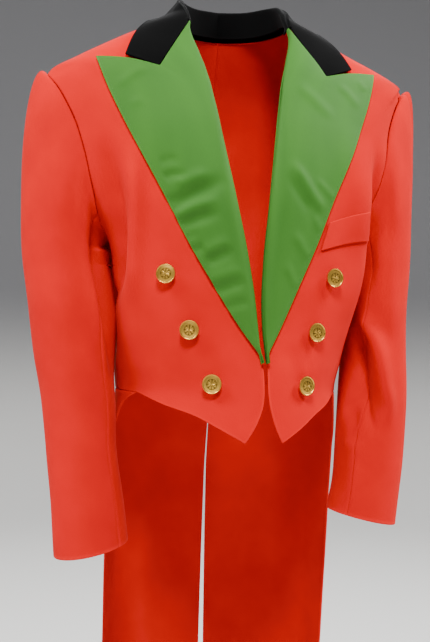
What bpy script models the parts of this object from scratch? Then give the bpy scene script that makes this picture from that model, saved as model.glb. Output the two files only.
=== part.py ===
"""A child's hunting tailcoat in the hollow form that it takes when worn.

Metres, +Z up, -Y is the coat's front and +X the wearer's left. The origin lies between the middles of the
two shoulder seams, where the coat bears on the wearer.
Every cloth piece is a closed wall. Its outer face lies on one shared body surface, or moved out from it, so
that neighbouring pieces meet at their seams.
"""

import math

import bmesh
import bpy
import numpy as np
from mathutils import Quaternion, Vector
from mathutils.bvhtree import BVHTree

# Cloth and seams
CLOTH = 0.0020
SEAM_GAP = 0.0003
WAIST_Z = -0.3495

# The body surface, a row for each level: height, half width, depth in front and behind, and how square the
# outline is in front and behind (2 is an ellipse).
BODY_COLUMNS = ("z", "half", "front", "back", "front_square", "back_square")
BODY_ROWS = (
    (0.060, 0.0400, 0.0350, 0.0500, 2.00, 2.00),
    (0.026, 0.0640, 0.0430, 0.0660, 2.00, 2.00),
    (0.010, 0.0990, 0.0485, 0.0720, 2.00, 2.00),
    (-0.005, 0.1290, 0.0540, 0.0780, 2.00, 2.05),
    (-0.020, 0.1580, 0.0605, 0.0840, 2.00, 2.10),
    (-0.035, 0.1820, 0.0670, 0.0890, 2.00, 2.15),
    (-0.050, 0.1895, 0.0725, 0.0930, 2.00, 2.20),
    (-0.070, 0.1905, 0.0800, 0.0970, 2.00, 2.25),
    (-0.100, 0.1840, 0.0900, 0.1000, 2.05, 2.30),
    (-0.135, 0.1680, 0.0985, 0.1010, 2.20, 2.35),
    (-0.170, 0.1480, 0.1050, 0.1000, 2.40, 2.40),
    (-0.205, 0.1325, 0.1090, 0.0960, 2.60, 2.40),
    (-0.245, 0.1260, 0.1130, 0.0890, 2.60, 2.35),
    (-0.285, 0.1220, 0.1180, 0.0810, 2.30, 2.30),
    (-0.320, 0.1170, 0.1250, 0.0765, 1.95, 2.25),
    (-0.350, 0.1125, 0.1310, 0.0755, 1.75, 2.20),
    (-0.400, 0.1165, 0.1390, 0.0890, 1.75, 2.25),
    (-0.450, 0.1190, 0.1400, 0.1000, 1.80, 2.30),
    (-0.600, 0.1220, 0.1400, 0.1080, 1.90, 2.35),
    (-0.820, 0.1240, 0.1400, 0.1120, 2.00, 2.35),
)
# The fronts' closing line leans to the wearer's left, most at the waist.
LEAN_COLUMNS = ("z", "lean")
LEAN_ROWS = (
    (0.060, 0.0000), (-0.100, 0.0000), (-0.200, 0.0030), (-0.270, 0.0057), (-0.306, 0.0080),
    (-0.330, 0.0106), (-0.350, 0.0106), (-0.390, 0.0080),
)

# The body's largest folds on each side, a row for each: the view that its places are seen from, how high it
# stands, or how deep it lies below zero, how wide it is, the shares of its length in which it rises and dies
# away, and its places
FOLD_COLUMNS = ("view", "height", "width", "fade", "path")
RIGHT_FOLDS = (
    ("front", 0.0050, 0.009, (0.3, 0.25),
     ((0.1085, -0.110), (0.1066, -0.147), (0.1052, -0.183), (0.1050, -0.225), (0.1056, -0.272))),
    ("front", -0.0115, 0.011, (0.45, 0.25),
     ((0.1338, -0.091), (0.1299, -0.123), (0.1248, -0.155), (0.1212, -0.183), (0.1195, -0.225),
      (0.1200, -0.275))),
    ("front", -0.0060, 0.008, (0.4, 0.4),
     ((0.1215, -0.245), (0.1235, -0.262), (0.1290, -0.280), (0.1350, -0.300))),
    ("side", -0.0150, 0.030, (0.3, 0.45),
     ((-0.010, -0.165), (-0.004, -0.215), (0.000, -0.260), (0.002, -0.345))),
    ("back", 0.0022, 0.016, (0.3, 0.3),
     ((0.045, -0.060), (0.052, -0.140), (0.050, -0.230), (0.040, -0.330))),
    ("back", -0.0020, 0.014, (0.3, 0.3), ((0.085, -0.080), (0.080, -0.160), (0.068, -0.250))),
    ("back", 0.0040, 0.017, (0.4, 0.0), ((0.028, -0.385), (0.034, -0.520), (0.038, -0.775))),
    ("back", -0.0036, 0.016, (0.35, 0.0), ((0.062, -0.380), (0.070, -0.540), (0.078, -0.775))),
    ("side", 0.0034, 0.015, (0.4, 0.0), ((0.060, -0.400), (0.066, -0.560), (0.070, -0.770))),
)
LEFT_FOLDS = (
    ("side", 0.0030, 0.040, (1.0, 0.0), ((0.000, -0.001), (0.000, -0.016), (0.000, -0.034))),
    ("side", -0.0070, 0.020, (0.0, 0.6),
     ((-0.004, -0.050), (-0.026, -0.062), (-0.042, -0.090), (-0.050, -0.130))),
    ("front", 0.0100, 0.022, (0.35, 0.4),
     ((0.1185, -0.085), (0.1155, -0.130), (0.1145, -0.171), (0.1150, -0.210), (0.1110, -0.257),
      (0.1050, -0.310))),
    ("front", -0.0100, 0.009, (0.4, 0.3),
     ((0.1400, -0.092), (0.1370, -0.135), (0.1345, -0.180), (0.1310, -0.220), (0.1255, -0.275))),
    ("back", 0.0020, 0.015, (0.3, 0.3),
     ((0.048, -0.070), (0.055, -0.150), (0.048, -0.240), (0.042, -0.325))),
    ("back", -0.0022, 0.013, (0.3, 0.3), ((0.090, -0.085), (0.083, -0.175), (0.066, -0.262))),
    ("back", 0.0036, 0.016, (0.4, 0.0), ((0.032, -0.380), (0.040, -0.540), (0.043, -0.775))),
    ("back", -0.0040, 0.017, (0.3, 0.0), ((0.068, -0.385), (0.074, -0.520), (0.084, -0.775))),
    ("side", 0.0030, 0.016, (0.45, 0.0), ((0.056, -0.405), (0.062, -0.550), (0.072, -0.770))),
)
FOLD_STEPS = 24

# How far apart the places are that tell which way the surface faces: an angle and a height
NORMAL_STEPS = (0.03, 0.0015)

# Armhole, seen from the side
ARMHOLE_Z = -0.1230
ARMHOLE_HALF_HEIGHT = 0.0830
ARMHOLE_FRONT_REACH = 0.0520
ARMHOLE_BACK_REACH = 0.0500
ARMHOLE_EGG = 0.12

# How many faces each seam and edge is divided into
FRONT_ARMHOLE_STEPS = 9
UNDERARM_STEPS = 8
BACK_ARMHOLE_STEPS = 7
ARMHOLE_STEPS = FRONT_ARMHOLE_STEPS + UNDERARM_STEPS + BACK_ARMHOLE_STEPS
SEAM_STEPS = 8
FRONT_NECK_STEPS = 2
ROLL_STEPS = 11
FRONT_EDGE_STEPS = 4
FRONT_HEM_STEPS = 8
FRONT_WAIST_STEPS = 5
SHOULDER_STEPS = FRONT_HEM_STEPS + FRONT_WAIST_STEPS
BACK_NECK_STEPS = 4
TAIL_ACROSS_STEPS = 11
TAIL_DOWN_STEPS = 12

# The front's cut, as places (x, z) seen from the front, from the middle of the coat
NECK_Z = 0.026
BACK_NECK_Z = 0.024
ROLL_LINE = (
    (0.0500, 0.0055), (0.0425, -0.028), (0.0340, -0.070), (0.0245, -0.120), (0.0152, -0.172),
    (0.0068, -0.224), (0.0024, -0.270), (0.0018, -0.295), (0.0022, -0.308),
)
FRONT_EDGE = (
    (0.0022, -0.308), (0.0020, -0.321), (0.0016, -0.333), (0.0018, -0.345), (0.0030, -0.356),
    (0.0058, -0.366), (0.0098, -0.376), (0.0175, -0.390),
)
FRONT_HEM = ((0.0175, -0.390), (0.0375, -0.3785), (0.0590, -0.3665), (0.0800, -0.3590), (0.0985, WAIST_Z))

# The seams of the side panel, as angles round the body from the centre front and heights
SIDE_SEAM_WAIST_Y = -0.012
BACK_SEAM = ((2.10, -0.166), (2.36, -0.215), (2.63, -0.275), (2.80, WAIST_Z))

# The tail, as places (y, z) seen from the side
TAIL_FRONT_EDGE = ((-0.030, -0.3605), (-0.010, -0.390), (0.006, -0.430), (0.020, -0.500), (0.032, -0.600))
TAIL_CORNER_Y = 0.048
TAIL_HEM_Z = -0.775
TAIL_CORNER_RISE = 0.012
VENT_SPREAD = 0.030

# The sleeves, a row for each level below the armhole: its centre, half width and half depth, and how much it
# slants across. The wearer's left arm is held a little higher.
SLEEVE_COLUMNS = ("z", "x", "y", "half_width", "half_depth", "slant")
LEFT_SLEEVE = (
    (-0.2280, 0.1618, -0.004, 0.0303, 0.0475, 0.00),
    (-0.2550, 0.1594, -0.008, 0.0299, 0.0465, 0.00),
    (-0.3080, 0.1547, -0.015, 0.0322, 0.0450, 0.02),
    (-0.3600, 0.1515, -0.022, 0.0345, 0.0430, 0.05),
    (-0.4110, 0.1455, -0.030, 0.0342, 0.0400, 0.10),
    (-0.4450, 0.1405, -0.036, 0.0335, 0.0380, 0.16),
    (-0.4755, 0.1345, -0.042, 0.0345, 0.0365, 0.22),
)
RIGHT_SLEEVE = (
    (-0.2280, 0.1685, -0.004, 0.0370, 0.0475, 0.00),
    (-0.2630, 0.1640, -0.010, 0.0370, 0.0465, 0.00),
    (-0.3120, 0.1580, -0.015, 0.0365, 0.0450, 0.02),
    (-0.3600, 0.1510, -0.020, 0.0357, 0.0430, 0.04),
    (-0.4070, 0.1475, -0.030, 0.0335, 0.0400, 0.08),
    (-0.4540, 0.1420, -0.038, 0.0343, 0.0380, 0.14),
    (-0.4990, 0.1377, -0.045, 0.0352, 0.0370, 0.22),
)
SLEEVE_HEAD_STEPS = 7
SLEEVE_DOWN_STEPS = 18
SLEEVE_UNDER_OUT = 0.009
# How far the head of each sleeve swells out and up before it falls
RIGHT_HEAD_SWELL = (0.019, 0.028)
LEFT_HEAD_SWELL = (0.024, 0.042)
SLEEVE_HANG = 0.42
# The share of the sleeve's head in which its folds rise
HEAD_CALM = 0.4
# The sleeves' largest folds. Their places are degrees round the arm, from its outer side forward, and
# heights.
SLEEVE_FOLD_COLUMNS = ("height", "width", "fade", "path")
RIGHT_SLEEVE_FOLDS = (
    (0.0052, 0.008, (0.3, 0.3),
     ((96, -0.130), (114, -0.168), (128, -0.205), (132, -0.243), (137, -0.281), (145, -0.306),
      (142, -0.345))),
    (-0.0030, 0.009, (0.3, 0.3),
     ((120, -0.160), (140, -0.205), (146, -0.243), (151, -0.281), (158, -0.320), (156, -0.350))),
    (0.0125, 0.024, (0.35, 0.45),
     ((172, -0.160), (178, -0.195), (182, -0.240), (184, -0.290), (184, -0.360))),
    (-0.0026, 0.007, (0.3, 0.3), ((262, -0.270), (285, -0.305), (300, -0.330))),
    (-0.0022, 0.006, (0.3, 0.3), ((240, -0.300), (262, -0.325), (280, -0.352))),
)
LEFT_SLEEVE_FOLDS = (
    (0.0090, 0.008, (0.25, 0.3),
     ((155, -0.268), (127, -0.287), (110, -0.306), (99, -0.336), (90, -0.364), (88, -0.390))),
    (-0.0150, 0.014, (0.25, 0.35),
     ((168, -0.285), (154, -0.305), (143, -0.330), (132, -0.356), (121, -0.385))),
    (-0.0040, 0.011, (0.35, 0.35),
     ((112, -0.152), (126, -0.177), (137, -0.207), (140, -0.238), (142, -0.262))),
    (0.0032, 0.012, (0.3, 0.35), ((112, -0.186), (104, -0.222), (97, -0.262), (92, -0.300))),
    (-0.0036, 0.006, (0.3, 0.3), ((170, -0.358), (146, -0.379), (133, -0.388))),
    (-0.0028, 0.007, (0.3, 0.3), ((258, -0.262), (280, -0.292), (298, -0.312))),
)

# The lapel, as places (x, z) seen from the front, and how it stands off the front
GORGE = ((0.0490, 0.0120), (0.0660, -0.0160), (0.0817, -0.0415))
LAPEL_PEAK = (0.1400, -0.0300)
LAPEL_TOP = (GORGE[-1], (0.1120, -0.0335), LAPEL_PEAK)
LAPEL_EDGE = (
    LAPEL_PEAK, (0.1300, -0.060), (0.1150, -0.095), (0.0970, -0.132), (0.0795, -0.1685), (0.0615, -0.2075),
    (0.0430, -0.2430), (0.0235, -0.2790), (0.0115, -0.3010),
)
LAPEL_STEPS = 13
LAPEL_EASE = 1.35
GORGE_STEPS = 3
LAPEL_TOP_STEPS = 4
LAPEL_EDGE_LIFT = 0.0012
LAPEL_CROWN = 0.0040
LAPEL_TOP_CROWN = 0.0026

# The collar, a row for each section from the centre back to the gorge: the fold's place, and the places of
# the outer edge and of the neck seam that the stand rises from
COLLAR_COLUMNS = ("fold", "edge", "seam")
COLLAR_ROWS = (
    ((0.0000, 0.0630, 0.0560), (0.0000, 0.0810, 0.0130), (0.0000, 0.0625, 0.0270)),
    ((0.0230, 0.0560, 0.0555), (0.0330, 0.0760, 0.0140), (0.0260, 0.0560, 0.0272)),
    ((0.0400, 0.0370, 0.0540), (0.0610, 0.0520, 0.0190), (0.0460, 0.0380, 0.0276)),
    ((0.0490, 0.0140, 0.0500), (0.0750, 0.0200, 0.0240), (0.0555, 0.0130, 0.0280)),
    ((0.0500, -0.0080, 0.0390), (0.0850, -0.0080, 0.0190), (0.0560, -0.0080, 0.0240)),
    ((0.0485, -0.0270, 0.0240), (0.1000, -0.0270, 0.0020), (0.0520, -0.0270, 0.0150)),
    ((0.0488, -0.0400, 0.0120), (0.1124, -0.0480, -0.0295), (0.0470, -0.0360, 0.0070)),
)
COLLAR_STEPS = 12
COLLAR_FOLD_RADIUS = 0.0028
COLLAR_LIFT = 0.0019
COLLAR_NOTCH_STEPS = 3
COLLAR_END_REACH = 4
COLLAR_END_SHIFT = (0.0005, 0.0006)

# The breast-pocket welt on the wearer's left front, as places (x, z) seen from the front
WELT_TOP = ((0.0758, -0.1860), (0.1178, -0.1710))
WELT_BOTTOM = ((0.0658, -0.2132), (0.1167, -0.1985))
WELT_LIFT = 0.0006
WELT_THICKNESS = 0.0018
WELT_STEPS = (8, 4)

# The buttons, as places (x, z) seen from the front, from the middle of the coat
RIGHT_BUTTONS = ((0.0788, -0.2385), (0.0602, -0.2890), (0.0439, -0.3377))
LEFT_BUTTONS = ((0.0788, -0.2385), (0.0575, -0.2900), (0.0405, -0.3390))
BUTTON_RADIUS = 0.0090
BUTTON_SEGMENTS = 20
# Its outline from the back of the shank to the middle of the dome: (radius, height above its seat)
BUTTON_PROFILE = (
    (0.0, 0.0), (0.0026, 0.0), (0.0026, 0.0032), (0.0080, 0.0034), (0.0090, 0.0041), (0.0090, 0.0047),
    (0.0078, 0.0053), (0.0070, 0.0048), (0.0035, 0.0057), (0.0, 0.0060),
)

# Colours (linear) and finishes: colour, roughness, metallic
FINISHES = {
    "scarlet_wool": ((0.62, 0.030, 0.020), 0.85, 0.0),
    "green_satin": ((0.075, 0.230, 0.050), 0.45, 0.0),
    "black_velvet": ((0.012, 0.010, 0.012), 0.95, 0.0),
    "gilt_brass": ((0.72, 0.50, 0.16), 0.30, 1.0),
}


def smooth_table(places, values, at):
    """Reads a smooth curve through a table's rows, without overshoot between them."""
    places, values = np.asarray(places, float), np.asarray(values, float)
    at = np.clip(at, places[0], places[-1])
    step = np.diff(places)
    slope = np.diff(values) / step
    both = slope[1:] + slope[:-1]
    same_way = slope[1:] * slope[:-1] > 0
    middle = np.where(same_way, 2 * slope[1:] * slope[:-1] / np.where(same_way, both, 1), 0)
    tangent = np.concatenate([slope[:1], middle, slope[-1:]])
    i = np.clip(np.searchsorted(places, at, side="right") - 1, 0, len(step) - 1)
    t = (at - places[i]) / step[i]
    return (
        values[i] * (1 + 2 * t) * (1 - t) ** 2
        + tangent[i] * step[i] * t * (1 - t) ** 2
        + values[i + 1] * t * t * (3 - 2 * t)
        - tangent[i + 1] * step[i] * t * t * (1 - t)
    )


def curve_through(points, steps, ease=1.0):
    """A smooth curve through points, read at equal distances, or closer at its start for an ease above 1."""
    points = np.asarray(points, float)
    along = np.concatenate([[0], np.cumsum(np.linalg.norm(np.diff(points, axis=0), axis=1))])
    fine_at = np.linspace(0, along[-1], 40 * len(points))
    fine = np.stack([smooth_table(along, column, fine_at) for column in points.T], 1)
    run = np.concatenate([[0], np.cumsum(np.linalg.norm(np.diff(fine, axis=0), axis=1))])
    at = run[-1] * np.linspace(0, 1, steps + 1) ** ease
    return np.stack([np.interp(at, run, column) for column in fine.T], 1)


def smooth_step(share):
    """A soft rise from 0 to 1 as the share does."""
    share = np.clip(share, 0, 1)
    return share * share * (3 - 2 * share)


def fold_relief(points, crest, height, width, fade):
    """How far a fold along its crest moves a sheet's points out, or in where its height is below zero."""
    starts, steps = crest[:-1], np.diff(crest, axis=0)
    flat = points.reshape(-1, 1, 3)
    share = np.clip(((flat - starts) * steps).sum(-1) / (steps**2).sum(-1), 0, 1)
    gap = np.linalg.norm(flat - starts - share[..., None] * steps, axis=-1)
    nearest = gap.argmin(1)
    row = np.arange(len(flat))
    along = (nearest + share[row, nearest]) / len(steps)
    rise, fall = (max(part, 1e-6) for part in fade)
    ends = smooth_step(along / rise) * smooth_step((1 - along) / fall)
    return (height * ends * np.exp(-((gap[row, nearest] / width) ** 2))).reshape(points.shape[:-1])


def girth(z):
    """The body surface's half width, depths and squareness at a height."""
    drop = [-row[0] for row in BODY_ROWS]
    return [smooth_table(drop, [row[k] for row in BODY_ROWS], -z) for k in range(1, len(BODY_COLUMNS))]


def angle_at_x(x, z, behind=False):
    """The angle round the body, from the centre front, of a place on the front half or, behind, the back."""
    half, _, _, front_square, back_square = girth(z)
    square = back_square if behind else front_square
    across = np.clip(x / half, 0, 1)
    angle = np.arctan2(across, (1 - across**square) ** (1 / square))
    return math.pi - angle if behind else angle


def angle_at_y(y, z):
    """The angle round the body, from the centre front, of a place on the side."""
    _, front, back, front_square, back_square = girth(z)
    ahead = y < 0
    square = np.where(ahead, front_square, back_square)
    deep = np.abs(y) / np.where(ahead, front, back)
    angle = np.arctan2((1 - deep**square) ** (1 / square), deep)
    return np.where(ahead, angle, math.pi - angle)


def body_point(side, angle, z):
    """The place on the body surface at an angle from the centre front and a height. side is +1 or -1."""
    half, front, back, front_square, back_square = girth(z)
    ahead = np.cos(angle) >= 0
    square = np.where(ahead, front_square, back_square)
    across, deep = np.abs(np.sin(angle)), np.abs(np.cos(angle))
    reach = (across**square + deep**square) ** (-1 / square)
    x = side * half * reach * np.sin(angle)
    y = np.where(ahead, -front, back) * reach * deep
    lean = smooth_table([-row[0] for row in LEAN_ROWS], [row[1] for row in LEAN_ROWS], -z)
    x = x + np.where(ahead, lean * (1 - (x / half) ** 2) ** 2, 0)
    return np.stack(np.broadcast_arrays(x, y, z), -1)


def body_normal(side, angle, z):
    """The direction out of the body surface."""
    turn, rise = NORMAL_STEPS
    round_it = body_point(side, angle + turn, z) - body_point(side, angle - turn, z)
    up = body_point(side, angle, z + rise) - body_point(side, angle, z - rise)
    out = np.cross(round_it, up) * side
    return out / np.linalg.norm(out, axis=-1, keepdims=True)


def place_angle(point):
    """The angle, from the centre front, of the surface place at a point's height and direction."""
    half, front, back, _, _ = girth(point[..., 2])
    deep = np.where(point[..., 1] < 0, front, back)
    return np.arctan2(np.abs(point[..., 0]) / half, -point[..., 1] / deep)


def clear_normals(point):
    """The direction out of the wearer's left half of the body surface, below points on or above it."""
    return body_normal(1, place_angle(point), point[..., 2])


def clear_of_body(point, clearance):
    """Moves points that lie nearer to the left half of the body surface than the clearance out to it."""
    normal = clear_normals(point)
    places = np.stack([place_angle(point), point[..., 2]], -1)
    ground = body_point(1, places[..., 0], places[..., 1])
    short = clearance + cloth_height(1, places) - np.sum((point - ground) * normal, -1)
    return point + normal * np.maximum(short, 0)[..., None]


def on_front(places):
    """Turns places (x, z) seen from the front into angles and heights."""
    places = np.asarray(places, float)
    return np.stack([angle_at_x(places[:, 0], places[:, 1]), places[:, 1]], 1)


def on_side(places):
    """Turns places (y, z) seen from the side into angles and heights."""
    places = np.asarray(places, float)
    return np.stack([angle_at_y(places[:, 0], places[:, 1]), places[:, 1]], 1)


def on_back(places):
    """Turns places (x, z) seen from behind into angles and heights."""
    places = np.asarray(places, float)
    return np.stack([angle_at_x(places[:, 0], places[:, 1], behind=True), places[:, 1]], 1)


def cloth_height(side, places):
    """How far the folds move the body's cloth out at places (angle, height)."""
    views = {"front": on_front, "side": on_side, "back": on_back}
    points = body_point(side, places[..., 0], places[..., 1])
    total = np.zeros(points.shape[:-1])
    for view, height, width, fade, path in LEFT_FOLDS if side > 0 else RIGHT_FOLDS:
        crest = views[view](curve_through(path, FOLD_STEPS))
        total += fold_relief(points, body_point(side, crest[:, 0], crest[:, 1]), height, width, fade)
    return total


def straight(start, end, steps):
    """Places at even distances on the straight line between two places."""
    return np.linspace(start, end, steps + 1)


def surface_curve(places, steps):
    """A smooth curve through angles and heights, read at even distances on the body."""
    scale = np.array([0.12, 1.0])
    return curve_through(np.asarray(places) * scale, steps) / scale


def joined(*runs):
    """Joins runs of places end to end, without the doubled places between them."""
    return np.concatenate([runs[0]] + [run[1:] for run in runs[1:]])


def patch(top, bottom, start, end):
    """Fills the four-sided patch between its edges (a Coons patch)."""
    down = np.linspace(0, 1, len(start))[:, None, None]
    across = np.linspace(0, 1, len(top))[None, :, None]
    corners = (1 - down) * ((1 - across) * top[0] + across * top[-1])
    corners = corners + down * ((1 - across) * bottom[0] + across * bottom[-1])
    return (1 - down) * top + down * bottom + (1 - across) * start[:, None] + across * end[:, None] - corners


def armhole():
    """The armhole from the shoulder seam round the front, the underarm and the back to the seam again."""
    turn = np.linspace(0, 2 * math.pi, ARMHOLE_STEPS + 1)
    z = ARMHOLE_Z + ARMHOLE_HALF_HEIGHT * np.cos(turn)
    reach = np.where(np.sin(turn) > 0, ARMHOLE_FRONT_REACH, ARMHOLE_BACK_REACH)
    y = -np.sin(turn) * reach * (1 - ARMHOLE_EGG * np.cos(turn))
    return on_side(np.stack([y, z], 1))


def side_seam():
    """The seam between the front and the side panel."""
    start = armhole()[FRONT_ARMHOLE_STEPS]
    return straight(start, on_side([(SIDE_SEAM_WAIST_Y, WAIST_Z)])[0], SEAM_STEPS)


def back_seam():
    """The curved seam between the side panel and the back."""
    start = armhole()[FRONT_ARMHOLE_STEPS + UNDERARM_STEPS]
    return surface_curve([start, *BACK_SEAM], SEAM_STEPS)


def front_patch():
    """The front, from the neck and the roll line to the armhole and the side seam."""
    neck_point = np.array([math.pi / 2, NECK_Z])
    hole = armhole()[: FRONT_ARMHOLE_STEPS + 1]
    roll = on_front(curve_through(ROLL_LINE, ROLL_STEPS))
    inner = joined(
        straight(neck_point, roll[0], FRONT_NECK_STEPS),
        roll,
        on_front(curve_through(FRONT_EDGE, FRONT_EDGE_STEPS)),
    )
    hem = on_front(curve_through(FRONT_HEM, FRONT_HEM_STEPS))
    bottom = joined(hem, straight(hem[-1], side_seam()[-1], FRONT_WAIST_STEPS))
    top = straight(neck_point, hole[0], SHOULDER_STEPS)
    return patch(top, bottom, inner, joined(hole, side_seam()))


def side_patch():
    """The side panel, under the arm."""
    last = FRONT_ARMHOLE_STEPS + UNDERARM_STEPS
    top = armhole()[FRONT_ARMHOLE_STEPS : last + 1]
    front, back = side_seam(), back_seam()
    return patch(top, straight(front[-1], back[-1], UNDERARM_STEPS), front, back)


def back_patch():
    """Half of the back, from the armhole and the back seam to the centre seam."""
    hole = armhole()[FRONT_ARMHOLE_STEPS + UNDERARM_STEPS :][::-1]
    outer = joined(hole, back_seam())
    neck_point, nape = np.array([math.pi / 2, NECK_Z]), np.array([math.pi, BACK_NECK_Z])
    waist = np.array([math.pi, WAIST_Z])
    centre = joined(
        straight(neck_point, nape, BACK_NECK_STEPS),
        straight(nape, waist, len(outer) - 1 - BACK_NECK_STEPS),
    )
    top = straight(hole[0], neck_point, SHOULDER_STEPS)
    return patch(top, straight(outer[-1], waist, SHOULDER_STEPS), outer, centre)


def tail_patch():
    """One tail, from the waist seam down, with its front edge cut away and a vent at the centre back."""
    notch = on_front([FRONT_HEM[-1]])[0]
    corner = on_side([(TAIL_CORNER_Y, TAIL_HEM_Z + TAIL_CORNER_RISE)])[0]
    front = surface_curve([notch, *on_side(TAIL_FRONT_EDGE), corner], TAIL_DOWN_STEPS)
    vent = straight((math.pi, WAIST_Z), (math.pi - VENT_SPREAD, TAIL_HEM_Z), TAIL_DOWN_STEPS)
    hem = straight(corner, vent[-1], TAIL_ACROSS_STEPS)
    hem[1:-1, 1] = TAIL_HEM_Z
    return patch(straight(notch, vent[0], TAIL_ACROSS_STEPS), hem, front, vent)


def lapel_patch():
    """The turned-back lapel, from the roll line to its edge, with the gorge and the peak at its top."""
    roll = curve_through((GORGE[0],) + ROLL_LINE, LAPEL_STEPS, LAPEL_EASE)
    edge = curve_through(LAPEL_EDGE, LAPEL_STEPS, LAPEL_EASE)
    top = joined(curve_through(GORGE, GORGE_STEPS), curve_through(LAPEL_TOP, LAPEL_TOP_STEPS))
    bottom = straight(roll[-1], edge[-1], len(top) - 1)
    return patch(*(on_front(run) for run in (top, bottom, roll, edge)))


def trimmed(points, gap, edges="tbse"):
    """Draws a sheet's edges in by half of the seam gap: top, bottom, start and end."""
    points = points.copy()
    moves = {"t": (0, 1), "b": (-1, -2)}
    for key, (row, inner) in moves.items():
        if key in edges:
            step = points[inner] - points[row]
            points[row] += step / np.linalg.norm(step, axis=-1, keepdims=True) * gap / 2
    moves = {"s": (0, 1), "e": (-1, -2)}
    for key, (column, inner) in moves.items():
        if key in edges:
            step = points[:, inner] - points[:, column]
            points[:, column] += step / np.linalg.norm(step, axis=-1, keepdims=True) * gap / 2
    return points


def material(name):
    """A plain finish with its colour, roughness and metallic value."""
    made = bpy.data.materials.get(name)
    if made is None:
        colour, roughness, metallic = FINISHES[name]
        made = bpy.data.materials.new(name)
        made.use_nodes = True
        shader = made.node_tree.nodes["Principled BSDF"]
        shader.inputs["Base Color"].default_value = (*colour, 1)
        shader.inputs["Roughness"].default_value = roughness
        shader.inputs["Metallic"].default_value = metallic
        made.diffuse_color = (*colour, 1)
    return made


def add_object(name, mesh, finish, collection):
    """Puts a mesh in the coat's collection as a named piece."""
    piece = bpy.data.objects.new(name, mesh)
    mesh.materials.append(material(finish))
    collection.objects.link(piece)
    return piece


def wall(name, outer, inner, finish, collection):
    """A closed wall of cloth between two sheets of points, with its rim all round."""
    shape = bmesh.new()
    sheets = []
    for sheet in (outer, inner):
        sheets.append([[shape.verts.new(point) for point in row] for row in sheet])
    rows, columns = outer.shape[0] - 1, outer.shape[1] - 1
    for sheet in sheets:
        for i in range(rows):
            for j in range(columns):
                shape.faces.new((sheet[i][j], sheet[i + 1][j], sheet[i + 1][j + 1], sheet[i][j + 1]))
    rim = [(0, j) for j in range(columns)] + [(i, columns) for i in range(rows)]
    rim += [(rows, j) for j in range(columns, 0, -1)] + [(i, 0) for i in range(rows, 0, -1)]
    for (i, j), (k, m) in zip(rim, rim[1:] + rim[:1]):
        shape.faces.new((sheets[0][i][j], sheets[0][k][m], sheets[1][k][m], sheets[1][i][j]))
    bmesh.ops.recalc_face_normals(shape, faces=shape.faces)
    bmesh.ops.triangulate(shape, faces=shape.faces)
    mesh = bpy.data.meshes.new(name)
    shape.to_mesh(mesh)
    shape.free()
    mesh.shade_smooth()
    mesh.set_sharp_from_angle(angle=math.radians(40))
    return add_object(name, mesh, finish, collection)


def body_panel(name, side, places, finish, collection, lift=0.0, thickness=CLOTH, edges="tbse"):
    """A panel on the body surface, or moved out from it by a lift for each of its points."""
    points = body_point(side, places[..., 0], places[..., 1])
    normals = body_normal(side, places[..., 0], places[..., 1])
    points = trimmed(points, SEAM_GAP, edges)
    outward = (cloth_height(side, places) + lift)[..., None] * normals
    return wall(name, points + outward, points + outward - normals * thickness, finish, collection)


def lapel_lift(places):
    """How far the lapel's outer face stands off the front: it rolls over from its fold."""
    across = np.linspace(0, 1, places.shape[1])
    down = np.linspace(0, 1, places.shape[0])[:, None]
    crown = np.sin(math.pi * across) * (LAPEL_TOP_CROWN + LAPEL_CROWN * np.sin(math.pi * down) ** 0.7)
    return SEAM_GAP + CLOTH + crown + (LAPEL_EDGE_LIFT - SEAM_GAP) * across


def sheet_normals(points, closed=False):
    """The direction out of a sheet at each of its points, from its neighbours."""
    if closed:
        wide = np.concatenate([points[:, -1:], points, points[:, :1]], 1)
        across = wide[:, 2:] - wide[:, :-2]
    else:
        across = np.gradient(points, axis=1)
    out = np.cross(np.gradient(points, axis=0), across)
    return out / np.linalg.norm(out, axis=-1, keepdims=True)


def outward_normals(rings):
    """The direction out of a tube at each point of its rings."""
    normals = sheet_normals(rings, closed=True)
    return normals * np.sign(np.sum(normals * (rings - rings.mean(1, keepdims=True))))


def sleeve_crest(path, rings):
    """The points along a sleeve fold's crest, from its degrees round the arm and its heights."""
    scale = np.array([0.25 / 360, 1.0])
    points = []
    for degrees, z in curve_through(np.array(path) * scale, FOLD_STEPS) / scale:
        column, share = divmod(degrees / 360 * ARMHOLE_STEPS, 1)
        low, high = int(column) % ARMHOLE_STEPS, int(column + 1) % ARMHOLE_STEPS
        strip = rings[:, low] * (1 - share) + rings[:, high] * share
        points.append([np.interp(-z, -strip[:, 2], strip[:, k]) for k in range(3)])
    return np.array(points)


def folded(rings, folds):
    """The sleeve's rings with its folds, which die out towards the armhole."""
    height = sum(fold_relief(rings, sleeve_crest(path, rings), *shape) for *shape, path in folds)
    calm = smooth_step(np.arange(len(rings)) / (SLEEVE_HEAD_STEPS * HEAD_CALM))
    return rings + outward_normals(rings) * (height * calm[:, None])[..., None]


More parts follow.
